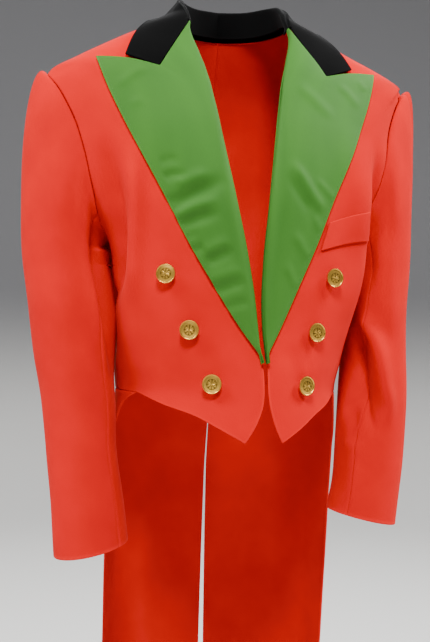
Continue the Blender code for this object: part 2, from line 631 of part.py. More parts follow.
def sleeve_rings(side, rows, swell):
    """The sleeve's rings of points, from the armhole round the shoulder and down to the cuff."""
    turn = np.linspace(0, 2 * math.pi, ARMHOLE_STEPS + 1)[:-1]
    table = np.array(rows)
    drops = np.linspace(-table[0, 0], -table[-1, 0], SLEEVE_DOWN_STEPS + 1)
    rings = []
    for drop in drops:
        x, y, half, deep, slant = (smooth_table(-table[:, 0], table[:, k], drop) for k in range(1, 6))
        out = half * np.cos(turn)
        ring = np.stack([side * (x + out), y - deep * np.sin(turn), -drop - slant * out], -1)
        rings.append(ring)
    hole = armhole()[:-1]
    start = body_point(side, hole[:, 0], hole[:, 1])
    start = start + body_normal(side, hole[:, 0], hole[:, 1]) * cloth_height(side, hole)[:, None]
    top = (1 + np.cos(turn)) / 2
    reach = SLEEVE_UNDER_OUT + (swell[0] - SLEEVE_UNDER_OUT) * top
    leave = start + np.stack([side * reach, 0 * turn, swell[1] * top**2], -1)
    end = rings[0]
    fall = np.linalg.norm(end - start, axis=-1, keepdims=True) * SLEEVE_HANG
    arrive = end + fall * (rings[0] - rings[1]) / np.linalg.norm(rings[0] - rings[1], axis=-1, keepdims=True)
    head = []
    for t in np.linspace(0, 1, SLEEVE_HEAD_STEPS + 1)[:-1]:
        s = 1 - t
        head.append(s**3 * start + 3 * s * s * t * leave + 3 * s * t * t * arrive + t**3 * end)
    return np.array(head + rings)


def sleeve(side, label, rows, swell, folds, collection):
    """The two pieces of a sleeve: the top sleeve and the under sleeve."""
    rings = folded(sleeve_rings(side, rows, swell), folds)
    normals = outward_normals(rings)
    last = FRONT_ARMHOLE_STEPS + UNDERARM_STEPS
    pieces = {
        "sleeve_top_" + label: np.arange(last, ARMHOLE_STEPS + FRONT_ARMHOLE_STEPS + 1) % ARMHOLE_STEPS,
        "sleeve_under_" + label: np.arange(FRONT_ARMHOLE_STEPS, last + 1),
    }
    for name, columns in pieces.items():
        points = trimmed(rings[:, columns], SEAM_GAP, "tse")
        wall(name, points, points - normals[:, columns] * CLOTH, "scarlet_wool", collection)


def collar_end():
    """The collar's front end: down the gorge from the fold, then up the notch to its corner."""
    corner = np.array(COLLAR_ROWS[-1][1])[[0, 2]]
    notch = straight(GORGE[-1], corner, COLLAR_NOTCH_STEPS)
    places = on_front(joined(curve_through(GORGE, GORGE_STEPS), notch) + COLLAR_END_SHIFT)
    normals = body_normal(1, places[:, 0], places[:, 1])
    return body_point(1, places[:, 0], places[:, 1]) + normals * (COLLAR_LIFT + CLOTH / 2)


def collar_sheet():
    """The middle of the collar's cloth, from the neck seam up the stand and over the fold to the edge."""
    guides = [curve_through([row[k] for row in COLLAR_ROWS], COLLAR_STEPS) for k in range(3)]
    fall_at = np.linspace(0, 1, GORGE_STEPS + COLLAR_NOTCH_STEPS + 1)[1:, None]
    sections = []
    for i, (fold, edge, seam) in enumerate(zip(*guides)):
        forward = i / COLLAR_STEPS
        outward = (edge - fold) * (1, 1, 0)
        outward /= np.linalg.norm(outward)
        up = np.array([0, 0, 1.0])
        radius = COLLAR_FOLD_RADIUS * (1 - 0.5 * forward)
        middle = fold + outward * radius - up * radius
        stand = straight(seam, middle - outward * radius, 2)
        arc = [
            middle + radius * (outward * math.cos(angle) + up * math.sin(angle))
            for angle in np.radians((135, 90, 45, 0))
        ]
        fall = arc[-1] + (edge - arc[-1]) * fall_at
        sections.append(np.concatenate([stand, arc, fall]))
    sections = np.array(sections)
    bend = collar_end()[1:] - sections[-1, -len(fall_at) :]
    reach = np.linspace(0, 1, COLLAR_STEPS + 1)[:, None, None] ** COLLAR_END_REACH
    sections[:, -len(fall_at) :] += bend * reach
    return sections


def collar(collection):
    """The velvet collar: one folded wall, stand inside and fall outside, right round the neck."""
    half = collar_sheet()
    fall = slice(-GORGE_STEPS - COLLAR_NOTCH_STEPS - 2, None)
    half[:, fall] = clear_of_body(half[:, fall], COLLAR_LIFT + CLOTH / 2)
    mirror = np.array([-1, 1, 1])
    middle = np.concatenate([(half * mirror)[:0:-1], half])
    normals = sheet_normals(middle)
    normals *= np.sign(normals[len(half) - 1, -1, 1])
    normals[-1, fall] = clear_normals(half[-1, fall])
    normals[0] = normals[-1] * mirror
    wall("collar", middle + normals * CLOTH / 2, middle - normals * CLOTH / 2, "black_velvet", collection)


def welt(collection):
    """The slanted welt of the breast pocket."""
    top, bottom = (straight(*line, WELT_STEPS[0]) for line in (WELT_TOP, WELT_BOTTOM))
    ends = [straight(top[k], bottom[k], WELT_STEPS[1]) for k in (0, -1)]
    places = patch(*(on_front(run) for run in (top, bottom, *ends)))
    body_panel(
        "pocket_welt", 1, places, "scarlet_wool", collection, WELT_LIFT + WELT_THICKNESS, WELT_THICKNESS, ""
    )


def button(name, panel, side, place, collection):
    """A turned metal button with a rim, a dome and a short shank, seated on its panel."""
    angle, z = on_front([place])[0]
    aim = Vector(body_point(side, angle, z))
    outward = Vector(body_normal(side, angle, z))
    across = outward.orthogonal().normalized()
    seats = []
    for turn in np.linspace(0, 2 * math.pi, BUTTON_SEGMENTS, endpoint=False):
        foot = across.copy()
        foot.rotate(Quaternion(outward, turn))
        start = aim + foot * BUTTON_PROFILE[1][0] + outward * BUTTON_RADIUS
        seats.append((panel.ray_cast(start, -outward)[0] - aim).dot(outward))
    profile = bpy.data.meshes.new(name)
    points = [(radius, 0, height) for radius, height in reversed(BUTTON_PROFILE)]
    profile.from_pydata(points, [(i, i + 1) for i in range(len(points) - 1)], [])
    turned = add_object(name, profile, "gilt_brass", collection)
    screw = turned.modifiers.new("turned", "SCREW")
    screw.steps = BUTTON_SEGMENTS
    screw.render_steps = BUTTON_SEGMENTS
    screw.use_merge_vertices = True
    screw.merge_threshold = 0.00005
    screw.use_normal_calculate = True
    turned.rotation_mode = "QUATERNION"
    turned.rotation_quaternion = Vector((0, 0, 1)).rotation_difference(outward)
    turned.location = aim + outward * (max(seats) + SEAM_GAP)


def solid_tree(piece):
    """A search tree over a piece's faces, to seat other pieces on it."""
    shape = bmesh.new()
    shape.from_mesh(piece.data)
    tree = BVHTree.FromBMesh(shape)
    shape.free()
    return tree


def build():
    """Builds the whole coat."""
    for old in list(bpy.data.objects):
        bpy.data.objects.remove(old, do_unlink=True)
    coat = bpy.data.collections.new("hunting_tailcoat")
    bpy.context.scene.collection.children.link(coat)
    sides = (
        (-1, "right", (RIGHT_SLEEVE, RIGHT_HEAD_SWELL, RIGHT_SLEEVE_FOLDS), RIGHT_BUTTONS),
        (1, "left", (LEFT_SLEEVE, LEFT_HEAD_SWELL, LEFT_SLEEVE_FOLDS), LEFT_BUTTONS),
    )
    for side, label, arm, buttons in sides:
        front = body_panel("front_" + label, side, front_patch(), "scarlet_wool", coat)
        body_panel("side_" + label, side, side_patch(), "scarlet_wool", coat)
        body_panel("back_" + label, side, back_patch(), "scarlet_wool", coat)
        body_panel("tail_" + label, side, tail_patch(), "scarlet_wool", coat)
        places = lapel_patch()
        body_panel("lapel_" + label, side, places, "green_satin", coat, lapel_lift(places), CLOTH, "t")
        sleeve(side, label, *arm, coat)
        tree = solid_tree(front)
        for number, place in enumerate(buttons, 1):
            button(f"button_{label}_{number}", tree, side, place, coat)
    collar(coat)
    welt(coat)


if __name__ == "__main__":
    build()
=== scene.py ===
"""The looks of a child's hunting tailcoat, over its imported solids.

Metres, +Z up, -Y is the coat's front and +X its left as it is worn. The body's panels share one
surface, as the solids do. Each sheet of cloth is a thin closed shell on it, with its folds as soft
ridges and troughs.
"""

import logging
import math
from collections.abc import Sequence
from dataclasses import dataclass, field
from enum import Enum

import bpy
import numpy as np
from mathutils import Matrix, Vector


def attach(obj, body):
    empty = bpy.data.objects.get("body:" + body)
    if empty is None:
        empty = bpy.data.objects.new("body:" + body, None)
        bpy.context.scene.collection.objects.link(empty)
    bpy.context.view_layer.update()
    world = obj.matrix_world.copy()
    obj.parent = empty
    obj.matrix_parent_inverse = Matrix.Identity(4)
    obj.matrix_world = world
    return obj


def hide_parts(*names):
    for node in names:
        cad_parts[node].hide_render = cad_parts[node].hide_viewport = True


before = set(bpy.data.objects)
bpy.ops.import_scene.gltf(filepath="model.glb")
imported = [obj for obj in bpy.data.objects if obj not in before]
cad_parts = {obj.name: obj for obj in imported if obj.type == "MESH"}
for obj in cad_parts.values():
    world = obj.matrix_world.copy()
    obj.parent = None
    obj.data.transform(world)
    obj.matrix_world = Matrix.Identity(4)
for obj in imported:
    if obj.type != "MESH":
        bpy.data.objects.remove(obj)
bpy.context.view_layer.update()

LOG = logging.getLogger("tailcoat")
BODY = "root"

Point = tuple[float, float, float]
Places = Sequence[tuple[float, float]]
Table = tuple[tuple[float, ...], ...]
Index = tuple[int | slice, int | slice]

# How thick a panel is, how close panels come at a seam, and how deep a pressed seam sinks
CLOTH = 0.0018
SEAM_GAP = 0.0001
SEAM_SINK = 0.0008
# How thick a panel of the solids is and how far its neighbours lie from it, for pieces that lie on top
SOLID_CLOTH = 0.0020
SOLID_GAP = 0.0003
WAIST_Z = -0.3495
# Extra lines of points next to each edge, as shares of a face, and how much of an edge's shape each takes
EDGE_LINES = (0.25, 0.6)
SINK_SHARES = (1.0, 0.55, 0.15)
# How much painted highlight each of the lines next to a free edge takes
HIGHLIGHT_SHARES = (0.5, 0.4, 0.2)
# The most of a face that an edge is drawn in by
MOST_DRAWN = 0.6
# The turns from face to back at which a rim has its rings, and how far a seam's rim swells
RIM_TURNS = tuple(math.radians(turn) for turn in (30, 60, 90, 120, 150))
SEAM_BULGE = 0.00003
# Slow waves of hanging cloth: a direction with its radians per metre, and a phase
WAVES = (((48.0, 23.0, 31.0), 0.4), ((-29.0, 41.0, 57.0), 1.9), ((71.0, -17.0, 22.0), 4.1))
# How finely a curve is read for each of its points before its steps are evened, and a fold's path in steps
CURVE_READINGS = 40
FOLD_STEPS = 24
# The shortest fade of a fold, as a share of its length, and the shortest length that gives a direction
SHORTEST_FADE = 1e-6
SHORTEST = 1e-12
# How many bands the wave texture draws in each unit at a scale of 1
BANDS_PER_UNIT = 3.2
AHEAD = np.array([0.0, -1.0, 0.0])


class Side(Enum):
    """The coat's right and left as it is worn, and the way each lies along X."""

    RIGHT = -1
    LEFT = 1

    @property
    def label(self) -> str:
        """The word that ends the side's piece names."""
        return self.name.lower()


class View(Enum):
    """Where the places of a fold are seen from."""

    FRONT = "front"
    SIDE = "side"
    BACK = "back"


class Edge(Enum):
    """What an edge of a sheet is: sewn to a neighbour, or turned under and free."""

    SEAM = "seam"
    FREE = "free"


def smooth_table(places: Sequence[float], values: Sequence[float], at: np.ndarray) -> np.ndarray:
    """Reads a smooth curve through a table's rows, without overshoot between them.

    Args:
        places: The rows' places, rising.
        values: The rows' values.
        at: The places to read.

    Returns:
        The values there.
    """
    places, values = np.asarray(places, float), np.asarray(values, float)
    at = np.clip(at, places[0], places[-1])
    step = np.diff(places)
    slope = np.diff(values) / step
    both = slope[1:] + slope[:-1]
    same_way = slope[1:] * slope[:-1] > 0
    middle = np.where(same_way, 2 * slope[1:] * slope[:-1] / np.where(same_way, both, 1), 0)
    tangent = np.concatenate([slope[:1], middle, slope[-1:]])
    i = np.clip(np.searchsorted(places, at, side="right") - 1, 0, len(step) - 1)
    t = (at - places[i]) / step[i]
    return (
        values[i] * (1 + 2 * t) * (1 - t) ** 2
        + tangent[i] * step[i] * t * (1 - t) ** 2
        + values[i + 1] * t * t * (3 - 2 * t)
        - tangent[i + 1] * step[i] * t * t * (1 - t)
    )


def curve_through(points: Sequence[Sequence[float]], steps: int, ease: float = 1.0) -> np.ndarray:
    """A smooth curve through points, read at equal distances.

    Args:
        points: The points, in any number of dimensions.
        steps: How many steps to read.
        ease: Above 1, the reading is closer at the start.

    Returns:
        steps + 1 points.
    """
    points = np.asarray(points, float)
    along = np.concatenate([[0], np.cumsum(np.linalg.norm(np.diff(points, axis=0), axis=1))])
    fine_at = np.linspace(0, along[-1], CURVE_READINGS * len(points))
    fine = np.stack([smooth_table(along, column, fine_at) for column in points.T], 1)
    run = np.concatenate([[0], np.cumsum(np.linalg.norm(np.diff(fine, axis=0), axis=1))])
    at = run[-1] * np.linspace(0, 1, steps + 1) ** ease
    return np.stack([np.interp(at, run, column) for column in fine.T], 1)


def straight(start: Sequence[float], end: Sequence[float], steps: int) -> np.ndarray:
    """Points at even distances on the straight line between two points."""
    return np.linspace(start, end, steps + 1)


def joined(*runs: np.ndarray) -> np.ndarray:
    """Joins runs of points end to end, without the doubled points between them."""
    return np.concatenate([runs[0]] + [run[1:] for run in runs[1:]])


def patch(top: np.ndarray, bottom: np.ndarray, start: np.ndarray, end: np.ndarray) -> np.ndarray:
    """Fills the four-sided patch between its edges, as a Coons patch.

    Args:
        top: The first row, from start to end.
        bottom: The last row.
        start: The first column, from top to bottom.
        end: The last column.

    Returns:
        The patch's rows of places.
    """
    down = np.linspace(0, 1, len(start))[:, None, None]
    across = np.linspace(0, 1, len(top))[None, :, None]
    corners = (1 - down) * ((1 - across) * top[0] + across * top[-1])
    corners = corners + down * ((1 - across) * bottom[0] + across * bottom[-1])
    edges = (1 - down) * top + down * bottom + (1 - across) * start[:, None] + across * end[:, None]
    return edges - corners


def unit(vectors: np.ndarray) -> np.ndarray:
    """The vectors, each at length 1."""
    return vectors / np.maximum(np.linalg.norm(vectors, axis=-1, keepdims=True), SHORTEST)


def smooth_step(share: np.ndarray) -> np.ndarray:
    """A soft rise from 0 to 1 as the share does."""
    share = np.clip(share, 0, 1)
    return share * share * (3 - 2 * share)


def slow_waves(points: np.ndarray) -> np.ndarray:
    """The slow, shallow waves of hanging cloth at points in space, from -1 to 1."""
    return sum(np.sin(points @ np.array(vector) + phase) for vector, phase in WAVES) / len(WAVES)


def sheet_normals(points: np.ndarray, towards: np.ndarray, closed: bool = False) -> np.ndarray:
    """The direction out of a sheet at each of its points.

    Args:
        points: The sheet's rows of points.
        towards: A direction out of the sheet at each point, to tell its face from its back.
        closed: Whether each row is a ring.

    Returns:
        A direction for each point.
    """
    if closed:
        wide = np.concatenate([points[:, -1:], points, points[:, :1]], 1)
        across = wide[:, 2:] - wide[:, :-2]
    else:
        across = np.gradient(points, axis=1)
    out = unit(np.cross(np.gradient(points, axis=0), across))
    return out * np.sign(np.sum(out * towards))


@dataclass(frozen=True)
class Fold:
    """A soft ridge, or a trough where its height is below zero, laid along a given path.

    Args:
        path: Places along its crest.
        height: How far its crest stands out.
        width: How far from its crest it falls to a third.
        fade: The shares of its length in which it rises at its start and dies at its end.
        view: Where the path's places are seen from.
    """

    path: Places
    height: float
    width: float
    fade: tuple[float, float] = (0.3, 0.3)
    view: View = View.FRONT

    def relief(self, points: np.ndarray, line: np.ndarray) -> np.ndarray:
        """How far the fold moves points of a sheet.

        Args:
            points: The sheet's points, before any fold.
            line: The fold's crest on that sheet.

        Returns:
            A height for each point.
        """
        starts, steps = line[:-1], np.diff(line, axis=0)
        flat = points.reshape(-1, 1, 3)
        share = np.clip(((flat - starts) * steps).sum(-1) / (steps**2).sum(-1), 0, 1)
        gap = np.linalg.norm(flat - starts - share[..., None] * steps, axis=-1)
        nearest = gap.argmin(1)
        row = np.arange(len(flat))
        along = (nearest + share[row, nearest]) / len(steps)
        rise, fall = (max(part, SHORTEST_FADE) for part in self.fade)
        ends = smooth_step(along / rise) * smooth_step((1 - along) / fall)
        crest = np.exp(-((gap[row, nearest] / self.width) ** 2))
        return (self.height * crest * ends).reshape(points.shape[:-1])


@dataclass(frozen=True)
class BodySurface:
    """The surface that the body's panels share, as levels from the neck down.

    A place on it is an angle from the centre front and a height.
    """

    # Each level: height, half width, depth in front and behind, and how square it is in front and behind
    levels: Table = (
        (0.060, 0.0400, 0.0350, 0.0500, 2.00, 2.00),
        (0.026, 0.0640, 0.0430, 0.0660, 2.00, 2.00),
        (0.010, 0.0990, 0.0485, 0.0720, 2.00, 2.00),
        (-0.005, 0.1290, 0.0540, 0.0780, 2.00, 2.05),
        (-0.020, 0.1580, 0.0605, 0.0840, 2.00, 2.10),
        (-0.035, 0.1820, 0.0670, 0.0890, 2.00, 2.15),
        (-0.050, 0.1895, 0.0725, 0.0930, 2.00, 2.20),
        (-0.070, 0.1905, 0.0800, 0.0970, 2.00, 2.25),
        (-0.100, 0.1840, 0.0900, 0.1000, 2.05, 2.30),
        (-0.135, 0.1680, 0.0985, 0.1010, 2.20, 2.35),
        (-0.170, 0.1480, 0.1050, 0.1000, 2.40, 2.40),
        (-0.205, 0.1325, 0.1090, 0.0960, 2.60, 2.40),
        (-0.245, 0.1260, 0.1130, 0.0890, 2.60, 2.35),
        (-0.285, 0.1220, 0.1180, 0.0810, 2.30, 2.30),
        (-0.320, 0.1170, 0.1250, 0.0765, 1.95, 2.25),
        (-0.350, 0.1125, 0.1310, 0.0755, 1.75, 2.20),
        (-0.400, 0.1165, 0.1390, 0.0890, 1.75, 2.25),
        (-0.450, 0.1190, 0.1400, 0.1000, 1.80, 2.30),
        (-0.600, 0.1220, 0.1400, 0.1080, 1.90, 2.35),
        (-0.820, 0.1240, 0.1400, 0.1120, 2.00, 2.35),
    )
    # The fronts' closing line leans to the left: height and lean
    lean: Table = (
        (0.060, 0.0000), (-0.100, 0.0000), (-0.200, 0.0030), (-0.270, 0.0057), (-0.306, 0.0080),
        (-0.330, 0.0106), (-0.350, 0.0106), (-0.390, 0.0080),
    )
    # How far apart the places are that tell which way the surface faces: an angle and a height
    normal_steps: tuple[float, float] = (0.03, 0.0015)

    def girth(self, z: np.ndarray) -> list[np.ndarray]:
        """The half width, the two depths and the two squarenesses at heights."""
        drop = [-row[0] for row in self.levels]
        return [smooth_table(drop, [row[k] for row in self.levels], -z) for k in range(1, 6)]

    def angle_at_x(self, x: np.ndarray, z: np.ndarray, behind: bool = False) -> np.ndarray:
        """Finds places that are seen from the front or from behind.

        Args:
            x: How far each lies from the middle.
            z: Their heights.
            behind: Whether they are seen from behind.

        Returns:
            Their angles.
        """
        half, _, _, front_square, back_square = self.girth(z)
        square = back_square if behind else front_square
        across = np.clip(x / half, 0, 1)
        angle = np.arctan2(across, (1 - across**square) ** (1 / square))
        return math.pi - angle if behind else angle

    def angle_at_y(self, y: np.ndarray, z: np.ndarray) -> np.ndarray:
        """Finds places that are seen from the side.

        Args:
            y: How far behind the shoulder seam's middle each lies.
            z: Their heights.

        Returns:
            Their angles.
        """
        _, front, back, front_square, back_square = self.girth(z)
        ahead = y < 0
        square = np.where(ahead, front_square, back_square)
        deep = np.clip(np.abs(y) / np.where(ahead, front, back), 0, 1)
        angle = np.arctan2((1 - deep**square) ** (1 / square), deep)
        return np.where(ahead, angle, math.pi - angle)

    def point(self, side: int, places: np.ndarray) -> np.ndarray:
        """Turns places into points.

        Args:
            side: -1 for the right, 1 for the left.
            places: The places.

        Returns:
            Their points on that side of the body.
        """
        angle, z = places[..., 0], places[..., 1]
        half, front, back, front_square, back_square = self.girth(z)
        ahead = np.cos(angle) >= 0
        square = np.where(ahead, front_square, back_square)
        across, deep = np.abs(np.sin(angle)), np.abs(np.cos(angle))
        reach = (across**square + deep**square) ** (-1 / square)
        x = side * half * reach * np.sin(angle)
        y = np.where(ahead, -front, back) * reach * deep
        lean = smooth_table([-row[0] for row in self.lean], [row[1] for row in self.lean], -z)
        x = x + np.where(ahead, lean * (1 - (x / half) ** 2) ** 2, 0)
        return np.stack(np.broadcast_arrays(x, y, z), -1)

    def normal(self, side: int, places: np.ndarray) -> np.ndarray:
        """The directions out of the surface.

        Args:
            side: -1 for the right, 1 for the left.
            places: The places.

        Returns:
            A direction for each place.
        """
        turn, rise = (np.array(step) for step in ((self.normal_steps[0], 0), (0, self.normal_steps[1])))
        round_it = self.point(side, places + turn) - self.point(side, places - turn)
        up = self.point(side, places + rise) - self.point(side, places - rise)
        return unit(np.cross(round_it, up) * side)

    def seen(self, places: Places, view: View) -> np.ndarray:
        """Finds places that are seen from one side.

        Args:
            places: How far across each is seen, and its height.
            view: The side that they are seen from.

        Returns:
            Their angles and heights.
        """
        places = np.asarray(places, float)
        if view is View.SIDE:
            angles = self.angle_at_y(places[:, 0], places[:, 1])
        else:
            angles = self.angle_at_x(places[:, 0], places[:, 1], view is View.BACK)
        return np.stack([angles, places[:, 1]], 1)

    def place_of(self, points: np.ndarray) -> np.ndarray:
        """Finds places from points.

        Args:
            points: Points on or near the surface.

        Returns:
            Their angles and heights.
        """
        half, front, back, _, _ = self.girth(points[..., 2])
        deep = np.where(points[..., 1] < 0, front, back)
        angle = np.arctan2(np.abs(points[..., 0]) / half, -points[..., 1] / deep)
        return np.stack([angle, points[..., 2]], -1)


@dataclass(frozen=True)
class Drape:
    """One side of the body surface with its cloth's folds and slow waves."""

    surface: BodySurface
    side: Side
    folds: tuple[Fold, ...]
    wave: float = 0.0006

    def height(self, places: np.ndarray) -> np.ndarray:
        """Adds up the cloth's folds and waves.

        Args:
            places: The places.

        Returns:
            How far the cloth stands off the body surface at each.
        """
        points = self.surface.point(self.side.value, places)
        total = slow_waves(points) * self.wave
        for fold in self.folds:
            crest = self.surface.seen(curve_through(fold.path, FOLD_STEPS), fold.view)
            total = total + fold.relief(points, self.surface.point(self.side.value, crest))
        return total

    def cloth(self, places: np.ndarray, lift: np.ndarray | float = 0.0) -> np.ndarray:
        """Turns places into points on the draped cloth.

        Args:
            places: The places.
            lift: How far out from the cloth each point is moved.

        Returns:
            Their points.
        """
        normals = self.surface.normal(self.side.value, places)
        outward = self.height(places) + lift
        return self.surface.point(self.side.value, places) + normals * outward[..., None]


@dataclass(frozen=True)
class Pattern:
    """The coat's cut: its seams and edges, and the patches of places between them."""

    surface: BodySurface = BodySurface()
    # Armhole, seen from the side: its middle, half height, reach ahead and behind, and egg shape
    armhole_z: float = -0.1230
    armhole_half_height: float = 0.0830
    armhole_front: float = 0.0520
    armhole_back: float = 0.0500
    armhole_egg: float = 0.12
    # Steps of the seams and edges, and how many faces each step is divided into. Round the armhole they are
    # the front's, the side's and the back's, and down the front the neck's, the roll's and the edge's.
    armhole_steps: tuple[int, int, int] = (9, 8, 7)
    front_steps: tuple[int, int, int] = (2, 11, 4)
    hem_steps: tuple[int, int] = (5, 2)
    seam_steps: int = 8
    shoulder_steps: int = 7
    nape_steps: int = 4
    fine: int = 9
    # How many faces a tail has down and across
    tail_faces: tuple[int, int] = (108, 66)
    neck_z: float = 0.026
    back_neck_z: float = 0.024
    roll_line: Places = (
        (0.0500, 0.0055), (0.0425, -0.028), (0.0340, -0.070), (0.0245, -0.120), (0.0152, -0.172),
        (0.0068, -0.224), (0.0024, -0.270), (0.0018, -0.295), (0.0022, -0.308),
    )
    front_edge: Places = (
        (0.0022, -0.308), (0.0020, -0.321), (0.0016, -0.333), (0.0018, -0.345), (0.0030, -0.356),
        (0.0058, -0.366), (0.0098, -0.376), (0.0175, -0.390),
    )
    front_hem: Places = (
        (0.0175, -0.390), (0.0375, -0.3785), (0.0590, -0.3665), (0.0800, -0.3590), (0.0985, WAIST_Z),
    )
    side_seam_y: float = -0.012
    back_seam_run: Places = ((2.10, -0.166), (2.36, -0.215), (2.63, -0.275), (2.80, WAIST_Z))
    tail_edge: Places = (
        (-0.030, -0.3605), (-0.010, -0.390), (0.006, -0.430), (0.020, -0.500), (0.032, -0.600),
    )
    tail_corner_y: float = 0.048
    tail_hem_z: float = -0.775
    # How far the hem rises to the tail's rounded corner, and how many times that rise goes into the hem
    tail_corner_rise: float = 0.012
    tail_corner_parts: float = 9
    vent_spread: float = 0.030
    # How far the front's own edge lies behind the fold that the lapel rolls over, and how many times the
    # stretch in which that dies out goes into the roll line
    front_tuck: float = 0.0032
    front_tuck_parts: float = 8
    # The body's usual radius, which weighs a curve's angles against its heights
    usual_radius: float = 0.12

    def armhole(self, fine: int) -> np.ndarray:
        """Goes round the armhole, from the shoulder seam by the front, the underarm and the back.

        Args:
            fine: How many points each step has.

        Returns:
            The places round it.
        """
        turn = np.linspace(0, 2 * math.pi, sum(self.armhole_steps) * fine + 1)
        z = self.armhole_z + self.armhole_half_height * np.cos(turn)
        reach = np.where(np.sin(turn) > 0, self.armhole_front, self.armhole_back)
        y = -np.sin(turn) * reach * (1 - self.armhole_egg * np.cos(turn))
        return self.surface.seen(np.stack([y, z], 1), View.SIDE)

    def side_seam(self) -> np.ndarray:
        """Draws the seam between the front and the side panel.

        Returns:
            The places down it.
        """
        start = self.armhole(self.fine)[self.armhole_steps[0] * self.fine]
        end = self.surface.seen([(self.side_seam_y, WAIST_Z)], View.SIDE)[0]
        return straight(start, end, self.seam_steps * self.fine)

    def back_seam(self) -> np.ndarray:
        """The curved seam between the side panel and the back."""
        start = self.armhole(self.fine)[sum(self.armhole_steps[:2]) * self.fine]
        return self.on_body([start, *self.back_seam_run], self.seam_steps * self.fine)

    def on_body(self, places: Places, steps: int) -> np.ndarray:
        """A smooth curve through angles and heights, read at even distances on the body."""
        scale = np.array([self.usual_radius, 1.0])
        return curve_through(np.asarray(places) * scale, steps) / scale

    def seen(self, places: Places, steps: int) -> np.ndarray:
        """A smooth curve through places seen from the front."""
        return self.surface.seen(curve_through(places, steps), View.FRONT)

    def front(self) -> np.ndarray:
        """Cuts the front, from the neck and the roll line to the armhole and the side seam.

        Returns:
            Its rows of places.
        """
        fine = self.fine
        at_neck, down_roll, down_edge = (steps * fine for steps in self.front_steps)
        cut_away, to_seam = (steps * fine for steps in self.hem_steps)
        neck = np.array([math.pi / 2, self.neck_z])
        hole = self.armhole(fine)[: self.armhole_steps[0] * fine + 1]
        roll = curve_through(self.roll_line, down_roll)
        roll[:, 0] += self.front_tuck * smooth_step(np.linspace(self.front_tuck_parts, 0, len(roll)))
        roll = self.surface.seen(roll, View.FRONT)
        inner = joined(straight(neck, roll[0], at_neck), roll, self.seen(self.front_edge, down_edge))
        hem = self.seen(self.front_hem, cut_away)
        bottom = joined(hem, straight(hem[-1], self.side_seam()[-1], to_seam))
        shoulder = straight(neck, hole[0], self.shoulder_steps * fine)
        return patch(shoulder, bottom, inner, joined(hole, self.side_seam()))

    def side(self) -> np.ndarray:
        """Cuts the side panel, under the armhole.

        Returns:
            Its rows of places.
        """
        first, last = (sum(self.armhole_steps[:k]) * self.fine for k in (1, 2))
        front, back = self.side_seam(), self.back_seam()
        bottom = straight(front[-1], back[-1], self.armhole_steps[1] * self.fine)
        return patch(self.armhole(self.fine)[first : last + 1], bottom, front, back)

    def back(self) -> np.ndarray:
        """Cuts half of the back, from the armhole and the back seam to the neck and the centre seam.

        Returns:
            Its rows of places.
        """
        fine = self.fine
        hole = self.armhole(fine)[sum(self.armhole_steps[:2]) * fine :][::-1]
        outer = joined(hole, self.back_seam())
        neck, nape = np.array([math.pi / 2, self.neck_z]), np.array([math.pi, self.back_neck_z])
        waist = np.array([math.pi, WAIST_Z])
        at_nape, across = self.nape_steps * fine, self.shoulder_steps * fine
        centre = joined(straight(neck, nape, at_nape), straight(nape, waist, len(outer) - 1 - at_nape))
        return patch(straight(hole[0], neck, across), straight(outer[-1], waist, across), outer, centre)

    def tail(self) -> np.ndarray:
        """Cuts one tail, from the waist seam down, with a slanted front edge and a vent at the centre back.

        Returns:
            Its rows of places.
        """
        notch = self.surface.seen(self.front_hem[-1:], View.FRONT)[0]
        corner_place = (self.tail_corner_y, self.tail_hem_z + self.tail_corner_rise)
        corner = self.surface.seen([corner_place], View.SIDE)[0]
        down, across = self.tail_faces
        edge = self.on_body([notch, *self.surface.seen(self.tail_edge, View.SIDE), corner], down)
        vent = straight((math.pi, WAIST_Z), (math.pi - self.vent_spread, self.tail_hem_z), down)
        hem = straight(corner, vent[-1], across)
        past_corner = smooth_step(np.linspace(0, self.tail_corner_parts, across + 1))
        hem[:, 1] = self.tail_hem_z + self.tail_corner_rise * (1 - past_corner)
        return patch(straight(notch, vent[0], across), hem, edge, vent)


@dataclass(frozen=True)
class Rims:
    """What the four edges of a sheet are."""

    top: Edge = Edge.SEAM
    bottom: Edge = Edge.SEAM
    start: Edge = Edge.SEAM
    end: Edge = Edge.SEAM


ALL_FREE = Rims(Edge.FREE, Edge.FREE, Edge.FREE, Edge.FREE)


@dataclass(frozen=True)
class Cut:
    """The flat piece that was cut: the width and length of the cloth that it needs, and its area.

    It also says how the piece is held, and which solids it rests on.
    """

    width: float
    length: float
    area: float
    held: str = "draped"
    rests_on: tuple[str, ...] = ()


def edge_lines(rims: Rims) -> list[tuple[Edge, list[Index]]]:
    """The first lines of points inward from each edge of a sheet.

    Args:
        rims: What the four edges are.

    Returns:
        For each edge what it is, and the indexes of its lines from the edge inward.
    """
    every, count = slice(None), len(SINK_SHARES)
    return [
        (rims.top, [(k, every) for k in range(count)]),
        (rims.bottom, [(-1 - k, every) for k in range(count)]),
        (rims.start, [(every, k) for k in range(count)]),
        (rims.end, [(every, -1 - k) for k in range(count)]),
    ]


def drawn_in(values: np.ndarray, points: np.ndarray, rims: Rims, thickness: float) -> np.ndarray:
    """Draws a sheet's edges in: by half of the gap at a seam, by the rim's roundness where it is free.

    Args:
        values: The sheet's rows of places or points, which move.
        points: The points that they stand for.
        rims: What the four edges are.
        thickness: The cloth's thickness.

    Returns:
        The moved places or points.
    """
    values = values.copy()
    for edge, lines in edge_lines(rims):
        inward = thickness / 2 if edge is Edge.FREE else SEAM_GAP / 2
        run = np.linalg.norm(points[lines[1]] - points[lines[0]], axis=-1, keepdims=True)
        values[lines[0]] += (values[lines[1]] - values[lines[0]]) * np.clip(inward / run, 0, MOST_DRAWN)
    return values


